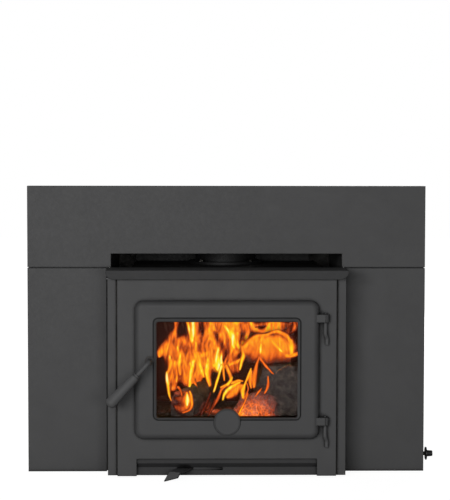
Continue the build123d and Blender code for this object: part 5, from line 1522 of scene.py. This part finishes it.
@dataclass
class PaintedShadeSeals:
    """Black fibre cords beside the front plate and tapes behind the side panels' inner edges: painted shade,
    dark pieces where the gaps beside the plate and the casing lie in shade.

    Attributes:
        cord_radius: Radius of the cords.
        gap: Play between the seals and what they lie beside.
        cord_foot: Height at which the cords start above the front plate's foot.
        cord_head: Distance at which they end below its head.
        tape_lap: How far the tapes reach behind the side panels.
        tape_gap: How much thinner than the splice plates they are, on each face.
        tape_foot: Height at which they start.
        tape_head: Gap between the tapes and the splice plates.
    """

    cord_radius: float = 0.0021
    gap: float = 0.0001
    cord_foot: float = 0.001
    cord_head: float = 0.003
    tape_lap: float = 0.012
    tape_gap: float = 0.0002
    tape_foot: float = 0.002
    tape_head: float = 0.0005

    def build(self, fibre: bpy.types.Material) -> None:
        """Lays the cords and the tapes on both sides.

        Args:
            fibre: Their material.
        """
        shape = bmesh.new()
        plate_low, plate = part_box("front_plate")
        bracket_low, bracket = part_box("surround_brackets_side")
        splice_low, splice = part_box("splice_plates")
        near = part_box("casing_right")[1].x + self.gap
        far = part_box("surround_right")[0].x + self.tape_lap
        front, back = splice_low.y + self.tape_gap, splice.y - self.tape_gap
        foot, head = plate_low.z + self.cord_foot, plate.z - self.cord_head
        cord_at = Vector((plate.x, plate.y, (foot + head) / 2))
        cord_at += Vector((1.0, -1.0, 0.0)) * (self.cord_radius + self.gap)
        tape_runs = ((self.tape_foot, bracket_low.z - self.gap),
                     (bracket.z + self.gap, splice_low.z - self.tape_head))
        for side in (-1.0, 1.0):
            cord = bmesh.ops.create_cone(shape, cap_ends=True, segments=14, radius1=self.cord_radius,
                                         radius2=self.cord_radius, depth=head - foot)["verts"]
            bmesh.ops.translate(shape, verts=cord, vec=(side * cord_at.x, cord_at.y, cord_at.z))
            for low, high in tape_runs:
                size = (far - near, back - front, high - low)
                middle = (side * (near + far) / 2, (front + back) / 2, (low + high) / 2)
                tape = bmesh.ops.create_cube(shape, size=1.0)["verts"]
                bmesh.ops.scale(shape, verts=tape, vec=size)
                bmesh.ops.translate(shape, verts=tape, vec=middle)
        keep_piece("painted_shade_seals", shape, fibre, "insert", smooth=False)


@dataclass
class ControlSleeve:
    """Bright sleeve over the fan control's bushing, between the side panel and the knob."""

    radius: float = 0.0054
    clearance: float = 0.0002

    def build(self, zinc: bpy.types.Material) -> None:
        """Fits the sleeve between the control's nut and its knob.

        Args:
            zinc: Its material.
        """
        _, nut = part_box("speed_control_nut")
        knob_low, knob_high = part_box("speed_knob")
        middle = (knob_low + knob_high) / 2
        start, end = nut.x + self.clearance, knob_low.x - self.clearance
        shape = bmesh.new()
        made = bmesh.ops.create_cone(shape, cap_ends=False, segments=24, radius1=self.radius,
                                     radius2=self.radius, depth=end - start)["verts"]
        bmesh.ops.rotate(shape, verts=made, matrix=Matrix.Rotation(math.pi / 2, 3, "Y"))
        bmesh.ops.translate(shape, verts=made, vec=((start + end) / 2, middle.y, middle.z))
        keep_piece("control_sleeve", shape, zinc, "insert")


@dataclass
class SlotGuard:
    """Curved strip on the air lever that closes its slot from behind.

    Attributes:
        radius: Its distance from the lever's pin.
        thickness: Its thickness.
        above: How far it stands above the lever.
        below: How far it hangs below the lever's top.
        start: The angle from straight ahead at which it starts.
        sweep: The angle that it covers.
        steps: The flat pieces that it is made of.
    """

    radius: float = 0.0885
    thickness: float = 0.001
    above: float = 0.0028
    below: float = 0.0078
    start: float = math.radians(-62.0)
    sweep: float = math.radians(132.0)
    steps: int = 48

    def build(self, paint: bpy.types.Material) -> None:
        """Sweeps the strip about the lever's pin.

        Args:
            paint: Its material.
        """
        low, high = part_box("lever_pin")
        pivot = ((low.x + high.x) / 2, (low.y + high.y) / 2, 0.0)
        lever_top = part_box("air_lever")[1].z
        foot, head = lever_top - self.below, lever_top + self.above
        shape = bmesh.new()
        strip = bmesh.ops.create_grid(shape, x_segments=1, y_segments=1, size=0.5)["verts"]
        bmesh.ops.rotate(shape, verts=strip, matrix=Matrix.Rotation(math.pi / 2, 3, "Y"))
        bmesh.ops.scale(shape, verts=strip, vec=(1.0, self.thickness, head - foot))
        bmesh.ops.translate(shape, verts=strip, vec=(0.0, -self.radius, (foot + head) / 2))
        bmesh.ops.rotate(shape, verts=strip, matrix=Matrix.Rotation(self.start, 3, "Z"))
        bmesh.ops.translate(shape, verts=strip, vec=pivot)
        bmesh.ops.spin(shape, geom=list(shape.faces), cent=pivot, axis=(0.0, 0.0, 1.0),
                       dvec=(0.0, 0.0, 0.0), angle=self.sweep, steps=self.steps, use_duplicate=False)
        bmesh.ops.recalc_face_normals(shape, faces=shape.faces)
        keep_piece("slot_guard", shape, paint, "lever", smooth=False)


def main() -> None:
    """Builds the scene in order."""
    logging.basicConfig(level=logging.INFO, format="%(message)s")
    bpy.context.scene.view_settings.view_transform = "Standard"
    Studio().build()
    nodes = CarriedNodes()
    nodes.dress()
    Fuel().build()
    Fire().build()
    DoorSeal().build(nodes.made[Slot.GLASS_FIBRE])
    GlassTape().build(nodes.made[Slot.GLASS_FIBRE])
    # Painted shade: black cords and tapes in the gaps beside the front plate and the casing.
    PaintedShadeSeals().build(KnittedFibre("painted_shade_fibre", (0.012, 0.012, 0.012)).make())
    ControlSleeve().build(nodes.made[Slot.ZINC_HARDWARE])
    SlotGuard().build(StovePaint("guard_paint", (0.04, 0.04, 0.041), crevice=0.003, hollow=0.002).make())


if __name__ == "__main__":
    main()
